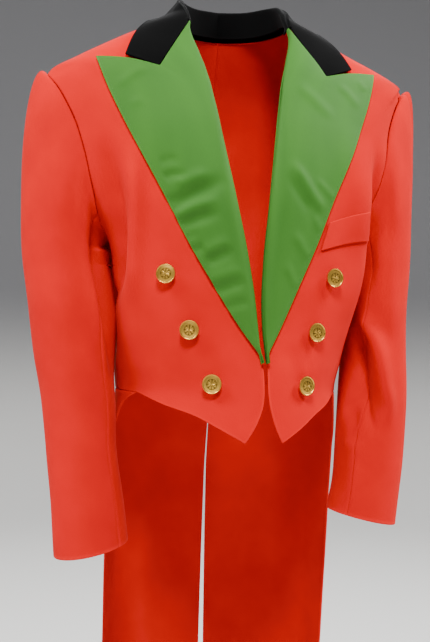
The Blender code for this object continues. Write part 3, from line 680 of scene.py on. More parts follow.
def with_edge_lines(values: np.ndarray) -> np.ndarray:
    """Adds the extra lines of points next to a sheet's four edges.

    Args:
        values: The sheet's rows of places, points or directions.

    Returns:
        The rows with the extra lines in them.
    """
    for axis in (0, 1):
        count = values.shape[axis]
        inner = np.arange(1, count - 1)
        near, far = np.array(EDGE_LINES), count - 1 - np.array(EDGE_LINES[::-1])
        at = np.concatenate([[0], near, inner, far, [count - 1]])
        low = np.minimum(at.astype(int), count - 2)
        share = (at - low).reshape([-1 if k == axis else 1 for k in range(values.ndim)])
        values = np.take(values, low, axis) * (1 - share) + np.take(values, low + 1, axis) * share
    return values


@dataclass
class Shell:
    """A sheet of cloth as a thin closed shell, with soft seams and rounded free edges.

    Args:
        name: The piece's name.
        points: Its rows of points, on its face.
        normals: The direction out of its face at each point.
        rims: What its four edges are.
        thickness: The cloth's thickness.
        wear: How strongly its free edges are lightened by a painted highlight, from 0 to 1.
    """

    name: str
    points: np.ndarray
    normals: np.ndarray
    rims: Rims
    thickness: float = CLOTH
    wear: float = 1.0
    worn: np.ndarray = field(init=False)

    def __post_init__(self) -> None:
        """Sinks the seams and marks how much painted highlight each point takes near a free edge."""
        shape = self.points.shape[:2]
        sink, self.worn = np.zeros(shape), np.zeros(shape)
        for edge, lines in edge_lines(self.rims):
            target, shares = (self.worn, HIGHLIGHT_SHARES) if edge is Edge.FREE else (sink, SINK_SHARES)
            for line, share in zip(lines, shares):
                target[line] = np.maximum(target[line], share)
        self.worn *= self.wear
        self.points = self.points - self.normals * (sink * SEAM_SINK)[..., None]

    @property
    def area(self) -> float:
        """The area of the cloth's face in square metres."""
        down, across = np.diff(self.points, axis=0)[:, :-1], np.diff(self.points, axis=1)[:-1]
        return float(np.linalg.norm(np.cross(down, across), axis=-1).sum())

    @property
    def reach(self) -> tuple[float, float]:
        """The longest way across the cloth and the longest way down it."""
        across = np.linalg.norm(np.diff(self.points, axis=1), axis=-1).sum(1).max()
        down = np.linalg.norm(np.diff(self.points, axis=0), axis=-1).sum(0).max()
        return float(across), float(down)

    def border(self) -> list[tuple[int, int]]:
        """Goes round the sheet.

        Returns:
            The indexes of the points on its border, in order.
        """
        rows, columns = self.points.shape[:2]
        round_it = [(0, j) for j in range(columns)] + [(i, columns - 1) for i in range(1, rows)]
        round_it += [(rows - 1, j) for j in range(columns - 2, -1, -1)]
        return round_it + [(i, 0) for i in range(rows - 2, 0, -1)]

    def rim(self, inner: np.ndarray) -> np.ndarray:
        """Rounds the border off.

        Args:
            inner: The points of the sheet's back.

        Returns:
            The rings of points that close the shell round its border, from its face to its back.
        """
        outward, bulge = np.zeros_like(self.points), np.zeros(self.points.shape[:2])
        count = np.zeros_like(bulge)
        for edge, lines in edge_lines(self.rims):
            outward[lines[0]] += unit(self.points[lines[0]] - self.points[lines[1]])
            bulge[lines[0]] += self.thickness / 2 if edge is Edge.FREE else SEAM_BULGE
            count[lines[0]] += 1
        i, j = np.array(self.border()).T
        middle, half = (self.points[i, j] + inner[i, j]) / 2, (self.points[i, j] - inner[i, j]) / 2
        swell = unit(outward[i, j]) * (bulge[i, j] / count[i, j])[:, None]
        return np.stack([middle + half * math.cos(turn) + swell * math.sin(turn) for turn in RIM_TURNS])

    def uv(self) -> np.ndarray:
        """Lays the cloth flat.

        Returns:
            Each point's place on it in metres, across and down.
        """
        across = np.linalg.norm(np.diff(self.points, axis=1), axis=-1)
        down = np.linalg.norm(np.diff(self.points, axis=0), axis=-1)
        u, v = np.zeros(self.points.shape[:2]), np.zeros(self.points.shape[:2])
        u[:, 1:] = np.cumsum(across, 1)
        v[1:] = np.cumsum(down, 0)
        return np.stack([u - u[:, u.shape[1] // 2, None], v - v[v.shape[0] // 2]], -1)

    def faces(self, loops: Sequence[np.ndarray]) -> np.ndarray:
        """Joins the sheet's face, its back and the rim between them.

        Args:
            loops: The numbers of the points round the border: the face's, each ring's and the back's.

        Returns:
            The numbers of each quad's points, so that it faces outward.
        """
        rows, columns = self.points.shape[:2]
        number = np.arange(rows * columns).reshape(rows, columns)
        quads = [number[:-1, :-1], number[1:, :-1], number[1:, 1:], number[:-1, 1:]]
        outer = np.stack([corner.ravel() for corner in quads], 1)
        bands = [
            np.stack([first, np.roll(first, -1), np.roll(second, -1), second], 1)
            for first, second in zip(loops, loops[1:])
        ]
        faces = np.concatenate([outer, outer[:, ::-1] + rows * columns, *bands])
        corner = self.points[:-1, :-1]
        out = np.cross(self.points[1:, :-1] - corner, self.points[:-1, 1:] - corner)
        inward = np.sum(out * self.normals[:-1, :-1]) < 0
        return faces[:, ::-1] if inward else faces

    def mesh(self) -> bpy.types.Mesh:
        """Makes the closed mesh, with a UV map in metres and how much painted highlight each point takes at
        a free edge.

        Returns:
            The mesh.
        """
        rows, columns = self.points.shape[:2]
        inner = self.points - self.normals * self.thickness
        rings = self.rim(inner)
        i, j = np.array(self.border()).T
        border, count = i * columns + j, rows * columns
        turns = [(2 * count + k * len(border)) + np.arange(len(border)) for k in range(len(rings))]
        faces = self.faces([border, *turns, border + count])
        vertices = np.concatenate([part.reshape(-1, 3) for part in (self.points, inner, rings)])
        mesh = bpy.data.meshes.new(self.name)
        mesh.from_pydata(vertices.tolist(), [], faces.tolist())
        flat, worn = self.uv(), self.worn
        uv = np.concatenate([flat.reshape(-1, 2)] * 2 + [flat[i, j]] * len(rings))
        wear = np.concatenate([worn.ravel(), np.zeros(count), *[worn[i, j]] * len(rings)])
        corner = np.zeros(len(mesh.loops), np.int32)
        mesh.loops.foreach_get("vertex_index", corner)
        mesh.uv_layers.new(name="cloth").data.foreach_set("uv", uv[corner].astype(np.float32).ravel())
        attribute = mesh.attributes.new("worn", "FLOAT", "POINT")
        attribute.data.foreach_set("value", wear.astype(np.float32))
        mesh.shade_smooth()
        return mesh


def add_node(
    tree: bpy.types.NodeTree, kind: str, settings: dict | None = None, inputs: dict | None = None
) -> bpy.types.Node:
    """Adds a node with its settings and links.

    Args:
        tree: The node tree.
        kind: The node's type.
        settings: Values for the node's own properties.
        inputs: For each socket's name or number, a value or the socket that feeds it.

    Returns:
        The node.
    """
    node = tree.nodes.new(kind)
    for key, value in (settings or {}).items():
        setattr(node, key, value)
    for key, value in (inputs or {}).items():
        if isinstance(value, bpy.types.NodeSocket):
            tree.links.new(value, node.inputs[key])
        else:
            node.inputs[key].default_value = value
    return node


def linear(colour: str) -> tuple[float, float, float, float]:
    """Turns an sRGB hex colour into linear light with full alpha."""
    parts = [int(colour[k : k + 2], 16) / 255 for k in (1, 3, 5)]
    return (*(part / 12.92 if part <= 0.04045 else ((part + 0.055) / 1.055) ** 2.4 for part in parts), 1.0)


@dataclass(frozen=True)
class Finish:
    """A finish: its material's name, the record's slot, and what its cloth or metal varies between.

    Args:
        name: The material's name.
        slot: The record's slot that it fills; not used.
        deep: The colour of its darker parts.
        light: The colour of its lighter parts.
        worn: The colour of handling marks on metal, and of the painted highlight along the free edges of
            cloth.
        roughness: The roughness that it varies between.
        fixed: The shader's inputs that are the same all over it.
    """

    name: str
    slot: str
    deep: str
    light: str
    worn: str
    roughness: tuple[float, float]
    fixed: tuple[tuple[str, object], ...] = ()

    def start(self) -> tuple[bpy.types.NodeTree, bpy.types.Node]:
        """Starts a new material, with the constant values set on its shader.

        Returns:
            Its node tree and its shader.
        """
        made = bpy.data.materials.new(self.name)
        made.use_nodes = True
        made.diffuse_color = linear(self.light)
        shader = made.node_tree.nodes["Principled BSDF"]
        for socket, value in self.fixed:
            shader.inputs[socket].default_value = value
        return made.node_tree, shader

    def material(self) -> bpy.types.Material:
        """Builds the finish's material when it is first asked for.

        Returns:
            The material.
        """
        if self.name not in bpy.data.materials:
            self.build()
        return bpy.data.materials[self.name]

    def vary(
        self,
        tree: bpy.types.NodeTree,
        shader: bpy.types.Node,
        colours: Sequence[tuple[bpy.types.NodeSocket | None, str]],
        grain: bpy.types.NodeSocket,
    ) -> None:
        """Links the shader's colour and roughness, which vary over the piece.

        Args:
            tree: The material's node tree.
            shader: Its shader.
            colours: The colours from the lowest up, each with the share in which it covers those below.
            grain: What the roughness follows.
        """
        (_, lowest), *layers = colours
        colour = linear(lowest)
        for share, over in layers:
            mixed = {"Factor": share, "A": colour, "B": linear(over)}
            colour = add_node(tree, "ShaderNodeMix", {"data_type": "RGBA"}, mixed).outputs["Result"]
        smooth, matt = self.roughness
        span = {"Value": grain, "To Min": smooth, "To Max": matt}
        rough = add_node(tree, "ShaderNodeMapRange", {}, span).outputs["Result"]
        tree.links.new(colour, shader.inputs["Base Color"])
        tree.links.new(rough, shader.inputs["Roughness"])

    def build(self) -> None:
        """Builds the material's nodes."""
        raise NotImplementedError


@dataclass(frozen=True)
class WovenFinish(Finish):
    """A woven cloth: threads that cross, a soft nap over them, and colour that clouds slowly.

    The scale of each pattern is in millimetres: the spacing of the weave's ribs, the nap's fibres and the
    clouds. Real threads are too fine to show from here, so ribs and nap are drawn about twice as coarse.
    """

    rib_mm: float = 1.3
    rib_depth_mm: float = 0.05
    rib_slant: float = 0.9
    # How far a rib wanders from a straight line
    rib_wander: float = 1.2
    nap_mm: float = 0.9
    nap_depth_mm: float = 0.10
    cloud_mm: float = 55.0
    # How much of the nap shows in the clouds' colour, and the values between which deep turns to light
    nap_in_clouds: float = 0.35
    clouds_span: tuple[float, float] = (0.35, 1.0)
    relief: float = 0.6
    streak: tuple[float, float] = (1.0, 1.0)

    def build(self) -> None:
        """Builds the material's nodes on the cloth's own UV map, which is in metres."""
        tree, shader = self.start()
        uv = add_node(tree, "ShaderNodeUVMap", {"uv_map": "cloth"}).outputs["UV"]
        turned, streaked = (
            add_node(tree, "ShaderNodeMapping", {}, {"Vector": uv, **change}).outputs["Vector"]
            for change in ({"Rotation": (0, 0, self.rib_slant)}, {"Scale": (*self.streak, 1)})
        )
        bands = {"wave_type": "BANDS", "bands_direction": "X", "wave_profile": "SIN"}
        run = {"Scale": 1000 / self.rib_mm / BANDS_PER_UNIT, "Distortion": self.rib_wander}
        ribs = add_node(
            tree, "ShaderNodeTexWave", bands, {"Vector": turned, "Detail": 1.0, "Detail Scale": 2.0, **run}
        ).outputs["Fac"]
        nap, clouds = (
            add_node(
                tree, "ShaderNodeTexNoise", {}, {"Vector": streaked, "Scale": 1000 / size, "Detail": detail}
            ).outputs["Fac"]
            for size, detail in ((self.nap_mm, 3.0), (self.cloud_mm, 2.0))
        )
        parts = {0: nap, 1: self.nap_in_clouds, 2: clouds}
        fibres = add_node(tree, "ShaderNodeMath", {"operation": "MULTIPLY_ADD"}, parts).outputs[0]
        low, high = self.clouds_span
        spread = add_node(
            tree, "ShaderNodeMapRange", {}, {"Value": fibres, "From Min": low, "From Max": high}
        ).outputs["Result"]
        # The free edges are lightened towards the third colour: a painted highlight
        wear = add_node(tree, "ShaderNodeAttribute", {"attribute_name": "worn"}).outputs["Fac"]
        self.vary(tree, shader, ((None, self.deep), (spread, self.light), (wear, self.worn)), fibres)
        surface = {}
        for height, depth_mm in ((ribs, self.rib_depth_mm), (nap, self.nap_depth_mm)):
            relief = {"Height": height, "Distance": depth_mm / 1000, "Strength": self.relief, **surface}
            surface = {"Normal": add_node(tree, "ShaderNodeBump", {}, relief).outputs["Normal"]}
        tree.links.new(surface["Normal"], shader.inputs["Normal"])


@dataclass(frozen=True)
class StruckBrass(Finish):
    """Gilt brass, struck and polished, with painted shade and tarnish darkening the hollows of its
    ornament.
    """

    # The handling marks, drawn coarser than real ones so that they show
    grain_mm: float = 1.2

    def build(self) -> None:
        """Builds the material's nodes, with the painted shade and tarnish of the hollows read from the
        mesh.
        """
        tree, shader = self.start()
        place = add_node(tree, "ShaderNodeTexCoord").outputs["Object"]
        grain = add_node(
            tree, "ShaderNodeTexNoise", {}, {"Vector": place, "Scale": 1000 / self.grain_mm, "Detail": 3.0}
        ).outputs["Fac"]
        hollow = add_node(tree, "ShaderNodeAttribute", {"attribute_name": "hollow"}).outputs["Fac"]
        self.vary(tree, shader, ((None, self.light), (grain, self.worn), (hollow, self.deep)), grain)


# Milled scarlet wool, closely cropped: matt and even, with a faint bloom where its nap catches the light,
# and a painted highlight along its free edges
SCARLET_WOOL = WovenFinish(
    "milled_scarlet_wool", "scarlet_wool", "#B20607", "#C8090A", "#D41C18", (0.78, 0.95),
    (("Sheen Weight", 0.08), ("Sheen Roughness", 0.40), ("Sheen Tint", (1.0, 0.16, 0.12, 1.0)),
     ("Specular IOR Level", 0.06)),
)
# Cotton satin: floats of thread all one way, so it is smoother than the wool, with soft streaks, and a
# painted highlight along its free edges
GREEN_SATIN = WovenFinish(
    "green_cotton_satin", "green_satin", "#2F5E1C", "#3A6C24", "#4A8030", (0.58, 0.70),
    (("Sheen Weight", 0.03), ("Sheen Roughness", 0.35), ("Sheen Tint", (0.6, 1.0, 0.4, 1.0)),
     ("Specular IOR Level", 0.10)),
    rib_mm=0.9, rib_depth_mm=0.03, rib_slant=0.0, nap_mm=1.1, nap_depth_mm=0.04, cloud_mm=40.0,
    streak=(1.0, 0.3),
)
# Cotton velvet: a dense upright pile that takes in nearly all light, and greys only at a glancing look,
# with a painted highlight along its free edges
BLACK_VELVET = WovenFinish(
    "black_cotton_velvet", "black_velvet", "#030303", "#050505", "#0A090A", (0.90, 1.00),
    (("Sheen Weight", 0.06), ("Sheen Roughness", 0.30), ("Sheen Tint", (0.6, 0.6, 0.62, 1.0)),
     ("Specular IOR Level", 0.05)),
    rib_mm=0.8, rib_depth_mm=0.02, rib_slant=0.0, nap_mm=0.8, nap_depth_mm=0.15, cloud_mm=25.0,
)
# Gilt brass, struck: a warm mirror dulled by fine handling marks, with painted shade and tarnish in its
# ornament's hollows
GILT_BRASS = StruckBrass(
    "struck_gilt_brass", "gilt_brass", "#4E360C", "#E2B452", "#CC9C3E", (0.27, 0.43), (("Metallic", 1.0),)
)
# Matt cotton thread in the satin's own green, so the stitches show by their relief
GREEN_THREAD = WovenFinish(
    "green_cotton_thread", "green_satin", "#2A5818", "#3A6C26", "#3A6C26", (0.7, 0.85),
    rib_mm=0.6, nap_mm=0.6, cloud_mm=10.0,
)


def add_object(name: str, data: bpy.types.ID) -> bpy.types.Object:
    """Adds an object with its mesh, light or camera to the scene.

    Args:
        name: Its name.
        data: Its mesh, light or camera.

    Returns:
        The object.
    """
    made = bpy.data.objects.new(name, data)
    bpy.context.scene.collection.objects.link(made)
    return made


def add_piece(
    name: str, mesh: bpy.types.Mesh, finish: Finish, replaced: Sequence[str] = ()
) -> bpy.types.Object:
    """Adds a finished mesh to the coat.

    Args:
        name: The piece's name.
        mesh: Its mesh, in place.
        finish: Its finish.
        replaced: The solids that it stands for.

    Returns:
        The piece.
    """
    piece = add_object(name, mesh)
    mesh.materials.clear()
    mesh.materials.append(finish.material())
    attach(piece, BODY)
    if replaced:
        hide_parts(*replaced)
    LOG.info("%s: %d faces", name, len(mesh.polygons))
    return piece


def add_cloth(shell: Shell, finish: Finish) -> None:
    """Args:
        shell: The sheet.
        finish: Its finish.
    """
    piece = add_piece("cloth_" + shell.name, shell.mesh(), finish, [shell.name])
    LOG.info("%s: %.4f square metres, %.3f across, %.3f down", shell.name, shell.area, *shell.reach)


@dataclass(frozen=True)
class StitchRun:
    """A run of small hand stitches along a line on the cloth, set out by geometry nodes.

    Args:
        name: The run's name.
        line: The points of the line, on the cloth's face.
        finish: The thread's finish.
        pitch: From one stitch to the next.
        length: How much of each stitch shows.
        thread: The thread's thickness.
    """

    name: str
    line: np.ndarray
    finish: Finish
    pitch: float = 0.0042
    length: float = 0.0019
    thread: float = 0.00042

    def node_group(self) -> bpy.types.NodeTree:
        """Builds the node group that turns the line into stitches.

        Returns:
            The node group.
        """
        tree = bpy.data.node_groups.new("stitches_" + self.name, "GeometryNodeTree")
        sockets = tree.interface
        sockets.new_socket("Line", in_out="INPUT", socket_type="NodeSocketGeometry")
        for name in ("Pitch", "Stitch length", "Thread"):
            sockets.new_socket(name, in_out="INPUT", socket_type="NodeSocketFloat")
        sockets.new_socket("Stitches", in_out="OUTPUT", socket_type="NodeSocketGeometry")
        given = add_node(tree, "NodeGroupInput").outputs
        curve = add_node(tree, "GeometryNodeMeshToCurve", {}, {"Mesh": given["Line"]}).outputs["Curve"]
        spaced = {"Curve": curve, "Length": given["Pitch"]}
        spots = add_node(tree, "GeometryNodeCurveToPoints", {"mode": "LENGTH"}, spaced).outputs
        bead = add_node(
            tree, "GeometryNodeMeshUVSphere", {}, {"Segments": 8, "Rings": 6, "Radius": 0.5}
        ).outputs["Mesh"]
        along = add_node(
            tree, "FunctionNodeAlignRotationToVector", {"axis": "X"}, {"Vector": spots["Tangent"]}
        ).outputs["Rotation"]
        length, thread = given["Stitch length"], given["Thread"]
        size = add_node(
            tree, "ShaderNodeCombineXYZ", {}, {"X": length, "Y": thread, "Z": thread}
        ).outputs["Vector"]
        placed = add_node(
            tree,
            "GeometryNodeInstanceOnPoints",
            {},
            {"Points": spots["Points"], "Instance": bead, "Rotation": along, "Scale": size},
        ).outputs["Instances"]
        solid = add_node(tree, "GeometryNodeRealizeInstances", {}, {"Geometry": placed}).outputs["Geometry"]
        dressed = add_node(
            tree, "GeometryNodeSetMaterial", {}, {"Geometry": solid, "Material": self.finish.material()}
        ).outputs["Geometry"]
        add_node(tree, "NodeGroupOutput", {}, {"Stitches": dressed})
        return tree

    def build(self) -> None:
        """Builds the stitches as one mesh."""
        guide = bpy.data.meshes.new(self.name)
        guide.from_pydata(self.line.tolist(), [(k, k + 1) for k in range(len(self.line) - 1)], [])
        holder = add_object(self.name, guide)
        modifier = holder.modifiers.new("stitches", "NODES")
        modifier.node_group = self.node_group()
        values = {"Pitch": self.pitch, "Stitch length": self.length, "Thread": self.thread}
        for socket in modifier.node_group.interface.items_tree:
            if socket.name in values:
                modifier[socket.identifier] = values[socket.name]
        evaluated = holder.evaluated_get(bpy.context.evaluated_depsgraph_get())
        mesh = bpy.data.meshes.new_from_object(evaluated)
        bpy.data.objects.remove(holder, do_unlink=True)
        mesh.shade_smooth()
        add_piece("stitches_" + self.name, mesh, self.finish)


@dataclass(frozen=True)
class Bodice:
    """The body of the coat on one side: front, side panel, half back and tail."""

    pattern: Pattern
    drape: Drape
    front_cut: Cut = Cut(0.19, 0.48, 0.0600)
    side_cut: Cut = Cut(0.14, 0.24, 0.0202)
    back_cut: Cut = Cut(0.22, 0.48, 0.0545)
    tail_cut: Cut = Cut(0.21, 0.45, 0.0670, "hung")

    def panel(self, name: str, places: np.ndarray, rims: Rims) -> Shell:
        """Cuts one panel of cloth.

        Args:
            name: Its name, without its side.
            places: The patch of places that it covers.
            rims: What its edges are.

        Returns:
            The panel.
        """
        surface, side = self.drape.surface, self.drape.side
        places = drawn_in(places, surface.point(side.value, places), rims, CLOTH)
        places = with_edge_lines(places)
        points = self.drape.cloth(places)
        normals = sheet_normals(points, surface.normal(side.value, places))
        return Shell(f"{name}_{side.label}", points, normals, rims)

    def build(self) -> None:
        """Builds and dresses the four panels."""
        panels = (
            ("front", self.pattern.front(), Rims(bottom=Edge.FREE, start=Edge.FREE), self.front_cut),
            ("side", self.pattern.side(), Rims(), self.side_cut),
            ("back", self.pattern.back(), Rims(), self.back_cut),
            ("tail", self.pattern.tail(), Rims(Edge.SEAM, Edge.FREE, Edge.FREE, Edge.FREE), self.tail_cut),
        )
        for name, places, rims, cut in panels:
            add_cloth(self.panel(name, places, rims), SCARLET_WOOL)


@dataclass(frozen=True)
class Sleeve:
    """A two-piece sleeve: its levels below the armhole, how far its head swells out and up, and its folds.

    Each row of levels is a height, the centre across and deep, the half width and depth, and the slant.
    The folds' places are an angle round the sleeve in degrees, from its outer side forward, and a height.
    """

    pattern: Pattern
    drape: Drape
    levels: Table
    swell: tuple[float, float]
    folds: tuple[Fold, ...]
    # Steps down the head and down the rest, and how many faces each step is divided into
    head_steps: int = 7
    down_steps: int = 10
    fine: int = 6
    # How far the head swells out on its underside
    under_out: float = 0.003
    # How far the head hangs straight above the first level, as a share of its way from the armhole, and the
    # share of that which is left on its underside, where the cloth falls straight from the armhole
    hang: float = 0.42
    under_hang: float = 0.50
    # The share of the head in which the folds and waves rise
    calm: float = 0.4
    wave: float = 0.0007
    # How far it is round the sleeve, which weighs a fold's degrees against its heights
    girth: float = 0.25
    top_cut: Cut = Cut(0.32, 0.48, 0.0715, "hung")
    under_cut: Cut = Cut(0.15, 0.36, 0.0270, "hung")

    def rings(self) -> np.ndarray:
        """Shapes the plain sleeve, from the armhole round the shoulder and down to the cuff.

        Returns:
            Its rings of points.
        """
        side = self.drape.side.value
        hole = self.pattern.armhole(self.fine)[:-1]
        turn = np.linspace(0, 2 * math.pi, len(hole) + 1)[:-1]
        table = np.array(self.levels)
        drops = np.linspace(-table[0, 0], -table[-1, 0], self.down_steps * self.fine + 1)
        rings = []
        for drop in drops:
            x, y, half, deep, slant = (smooth_table(-table[:, 0], table[:, k], drop) for k in range(1, 6))
            out = half * np.cos(turn)
            ring = np.stack([side * (x + out), y - deep * np.sin(turn), -drop - slant * out], -1)
            rings.append(ring)
        start, end = self.drape.cloth(hole), rings[0]
        top = (1 + np.cos(turn)) / 2
        reach = self.under_out + (self.swell[0] - self.under_out) * top
        leave = start + np.stack([side * reach, 0 * turn, self.swell[1] * top**2], -1)
        hang = self.hang * (self.under_hang + (1 - self.under_hang) * smooth_step(2 * top))
        fall = np.linalg.norm(end - start, axis=-1, keepdims=True) * hang[:, None]
        arrive = end + fall * unit(rings[0] - rings[1])
        head = []
        for t in np.linspace(0, 1, self.head_steps * self.fine + 1)[:-1]:
            s = 1 - t
            head.append(s**3 * start + 3 * s * s * t * leave + 3 * s * t * t * arrive + t**3 * end)
        return np.array(head + rings)

    def crest(self, fold: Fold, rings: np.ndarray) -> np.ndarray:
        """Lays a fold's crest on the plain sleeve.

        Args:
            fold: The fold.
            rings: The sleeve's rings of points.

        Returns:
            The points along its crest.
        """
        scale = np.array([self.girth / 360, 1.0])
        path = curve_through(np.array(fold.path) * scale, FOLD_STEPS) / scale
        turns = rings.shape[1]
        points = []
        for degrees, z in path:
            column = degrees / 360 * turns
            low, share = int(column) % turns, column % 1
            strip = rings[:, low] * (1 - share) + rings[:, (low + 1) % turns] * share
            points.append([np.interp(-z, -strip[:, 2], strip[:, k]) for k in range(3)])
        return np.array(points)

    def outward(self, rings: np.ndarray) -> np.ndarray:
        """The direction out of the sleeve at each point of its rings."""
        return sheet_normals(rings, rings - rings.mean(1, keepdims=True), closed=True)

    def draped(self) -> np.ndarray:
        """Adds the sleeve's folds and waves, which die out at the armhole.

        Returns:
            Its rings of points.
        """
        rings = self.rings()
        height = slow_waves(rings) * self.wave
        for fold in self.folds:
            height = height + fold.relief(rings, self.crest(fold, rings))
        height *= smooth_step(np.arange(len(rings)) / (self.head_steps * self.fine * self.calm))[:, None]
        return rings + self.outward(rings) * height[..., None]

    def build(self) -> None:
        """Builds and dresses the top sleeve and the under sleeve."""
        rings = self.draped()
        out = self.outward(rings)
        turns = rings.shape[1]
        first, last = (sum(self.pattern.armhole_steps[:k]) * self.fine for k in (1, 2))
        pieces = (
            ("sleeve_top", np.arange(last, turns + first + 1) % turns, self.top_cut),
            ("sleeve_under", np.arange(first, last + 1), self.under_cut),
        )
        rims = Rims(bottom=Edge.FREE)
        for name, columns, cut in pieces:
            points, normals = rings[:, columns], out[:, columns]
            points = with_edge_lines(drawn_in(points, points, rims, CLOTH))
            normals = unit(with_edge_lines(normals))
            add_cloth(Shell(f"{name}_{self.drape.side.label}", points, normals, rims), SCARLET_WOOL)


@dataclass(frozen=True)
class Lapel:
    """The satin lapel, turned back over the front: its outline seen from the front, its roll and its folds.

    Its cloth wraps over the roll line and goes on inside the front as the edge of the facing.
    """

    pattern: Pattern
    drape: Drape
    folds: tuple[Fold, ...]
    gorge: Places = ((0.0490, 0.0120), (0.0660, -0.0160), (0.0817, -0.0415))
    top_edge: Places = ((0.0817, -0.0415), (0.1120, -0.0335), (0.1400, -0.0300))
    outer_edge: Places = (
        (0.1400, -0.0300), (0.1300, -0.060), (0.1150, -0.095), (0.0970, -0.132), (0.0795, -0.1685),
        (0.0615, -0.2075), (0.0430, -0.2430), (0.0240, -0.2780), (0.0150, -0.2935), (0.0088, -0.3035),
        (0.0044, -0.3115), (0.0028, -0.3190),
    )
    # Where the lapel tapers out along the front's edge
    tip: tuple[float, float] = (0.0020, -0.3190)
    # Steps down and across, how many faces each is divided into, and how much closer those at the top lie
    down_steps: int = 13
    gorge_steps: int = 3
    top_steps: int = 4
    fine: int = 9
    ease: float = 1.35
    # How far its edge and its middle stand off the front, and how flat their curves across and down are
    edge_lift: float = 0.0012
    crown: float = 0.0040
    top_crown: float = 0.0026
    crown_across: float = 0.85
    crown_down: float = 0.7
    # How softly a deep crease is stopped where it would meet the front
    floor_ease: float = 0.0005
    # The roll: its reach across, how far inside the front its face comes to lie, and how wide that face is
    roll_reach: float = 0.0026
    facing_depth: float = 0.0037
    facing_width: float = 0.012
    # The most that each may take of a row that is narrow, near the tip
    roll_share: float = 0.3
    facing_share: float = 0.8
    roll_turns: int = 12
    facing_faces: int = 4
    thickness: float = 0.0016
    # How many columns at the outer edge are read to tell its face from its back
    outer_columns: int = 20
    # How strongly its free edges are lightened by a painted highlight
    edge_wear: float = 0.6
    # Hand stitches just inside the edge
    stitch_inset: float = 0.0032
    stitch_end_z: float = -0.290
    cut: Cut = Cut(0.15, 0.34, 0.0235, "folded")

    def places(self) -> np.ndarray:
        """Cuts the lapel, from the roll line to its edge.

        Returns:
            Its rows of places.
        """
        down = self.down_steps * self.fine
        roll = curve_through((self.gorge[0], *self.pattern.roll_line, self.tip), down, self.ease)
        edge = curve_through(self.outer_edge, down, self.ease)
        gorge = curve_through(self.gorge, self.gorge_steps * self.fine)
        top = joined(gorge, curve_through(self.top_edge, self.top_steps * self.fine))
        bottom = straight(roll[-1], edge[-1], len(top) - 1)
        surface = self.pattern.surface
        return patch(*(surface.seen(run, View.FRONT) for run in (top, bottom, roll, edge)))

    def lift(self, places: np.ndarray, points: np.ndarray) -> np.ndarray:
        """Rolls the lapel's face over from its fold, with its creases in it.

        Args:
            places: Its rows of places, from the roll line outward.
            points: Their points on the plain body.

        Returns:
            How far its face stands off the front at each.
        """
        across = np.linspace(0, 1, places.shape[1])
        down = np.linspace(0, 1, places.shape[0])[:, None]
        crown = self.top_crown + self.crown * np.sin(math.pi * down) ** self.crown_down
        swell = np.sin(math.pi * across**self.crown_across) * crown
        rise = SOLID_GAP + SOLID_CLOTH + (self.edge_lift - SOLID_GAP) * across + swell
        surface, side = self.pattern.surface, self.drape.side.value
        for fold in self.folds:
            crest = surface.seen(curve_through(fold.path, FOLD_STEPS), View.FRONT)
            rise = rise + fold.relief(points, surface.point(side, crest))
        floor = SOLID_GAP + self.thickness
        clear = rise - floor
        return floor + (clear + np.sqrt(clear**2 + self.floor_ease**2)) / 2

    def sheet(self) -> np.ndarray:
        """Lays the lapel's face, from inside the front over the roll and out to its edge.

        Returns:
            Its rows of points.
        """
        surface, side = self.pattern.surface, self.drape.side.value
        places, rims = self.places(), Rims(Edge.FREE, Edge.FREE, Edge.SEAM, Edge.FREE)
        places = drawn_in(places, surface.point(side, places), rims, self.thickness)
        points = surface.point(side, places)
        lift = self.lift(places, points)
        along = np.linalg.norm(np.diff(points, axis=1), axis=-1)
        run = np.concatenate([np.zeros((len(points), 1)), np.cumsum(along, 1)], 1)
        middle = (lift[:, 0] - self.facing_depth) / 2
        half = (lift[:, 0] + self.facing_depth) / 2
        turns = np.linspace(1.5 * math.pi, 0.5 * math.pi, self.roll_turns + 1)
        rows = []
        for i, row in enumerate(places):
            wide = min(self.facing_width, self.facing_share * run[i, -1])
            reach = min(self.roll_reach, self.roll_share * run[i, -1])
            inside = np.linspace(wide, reach, self.facing_faces + 1)[:-1]
            arc = reach * (1 + np.cos(turns))
            face = reach + (run[i, -1] - reach) * np.linspace(0, 1, places.shape[1])[1:]
            at = np.concatenate([inside, arc, face])
            height = np.concatenate([
                np.full(len(inside), -self.facing_depth),
                middle[i] + half[i] * np.sin(turns),
                np.interp(face, run[i], lift[i]),
            ])
            place = np.stack([np.interp(at, run[i], row[:, k]) for k in range(2)], 1)
            rows.append(self.drape.cloth(place, height))
        return np.array(rows)

    def build(self) -> None:
        """Builds and dresses the lapel and its stitches."""
        surface, side = self.pattern.surface, self.drape.side
        sheet = self.sheet()
        towards, outer = np.zeros_like(sheet), slice(-self.outer_columns, None)
        towards[:, outer] = surface.normal(side.value, surface.place_of(sheet[:, outer]))
        points = with_edge_lines(sheet)
        normals = sheet_normals(points, with_edge_lines(towards))
        shell = Shell(f"lapel_{side.label}", points, normals, ALL_FREE, self.thickness, self.edge_wear)
        add_cloth(shell, GREEN_SATIN)
        StitchRun(shell.name, self.stitch_line(sheet), GREEN_THREAD).build()

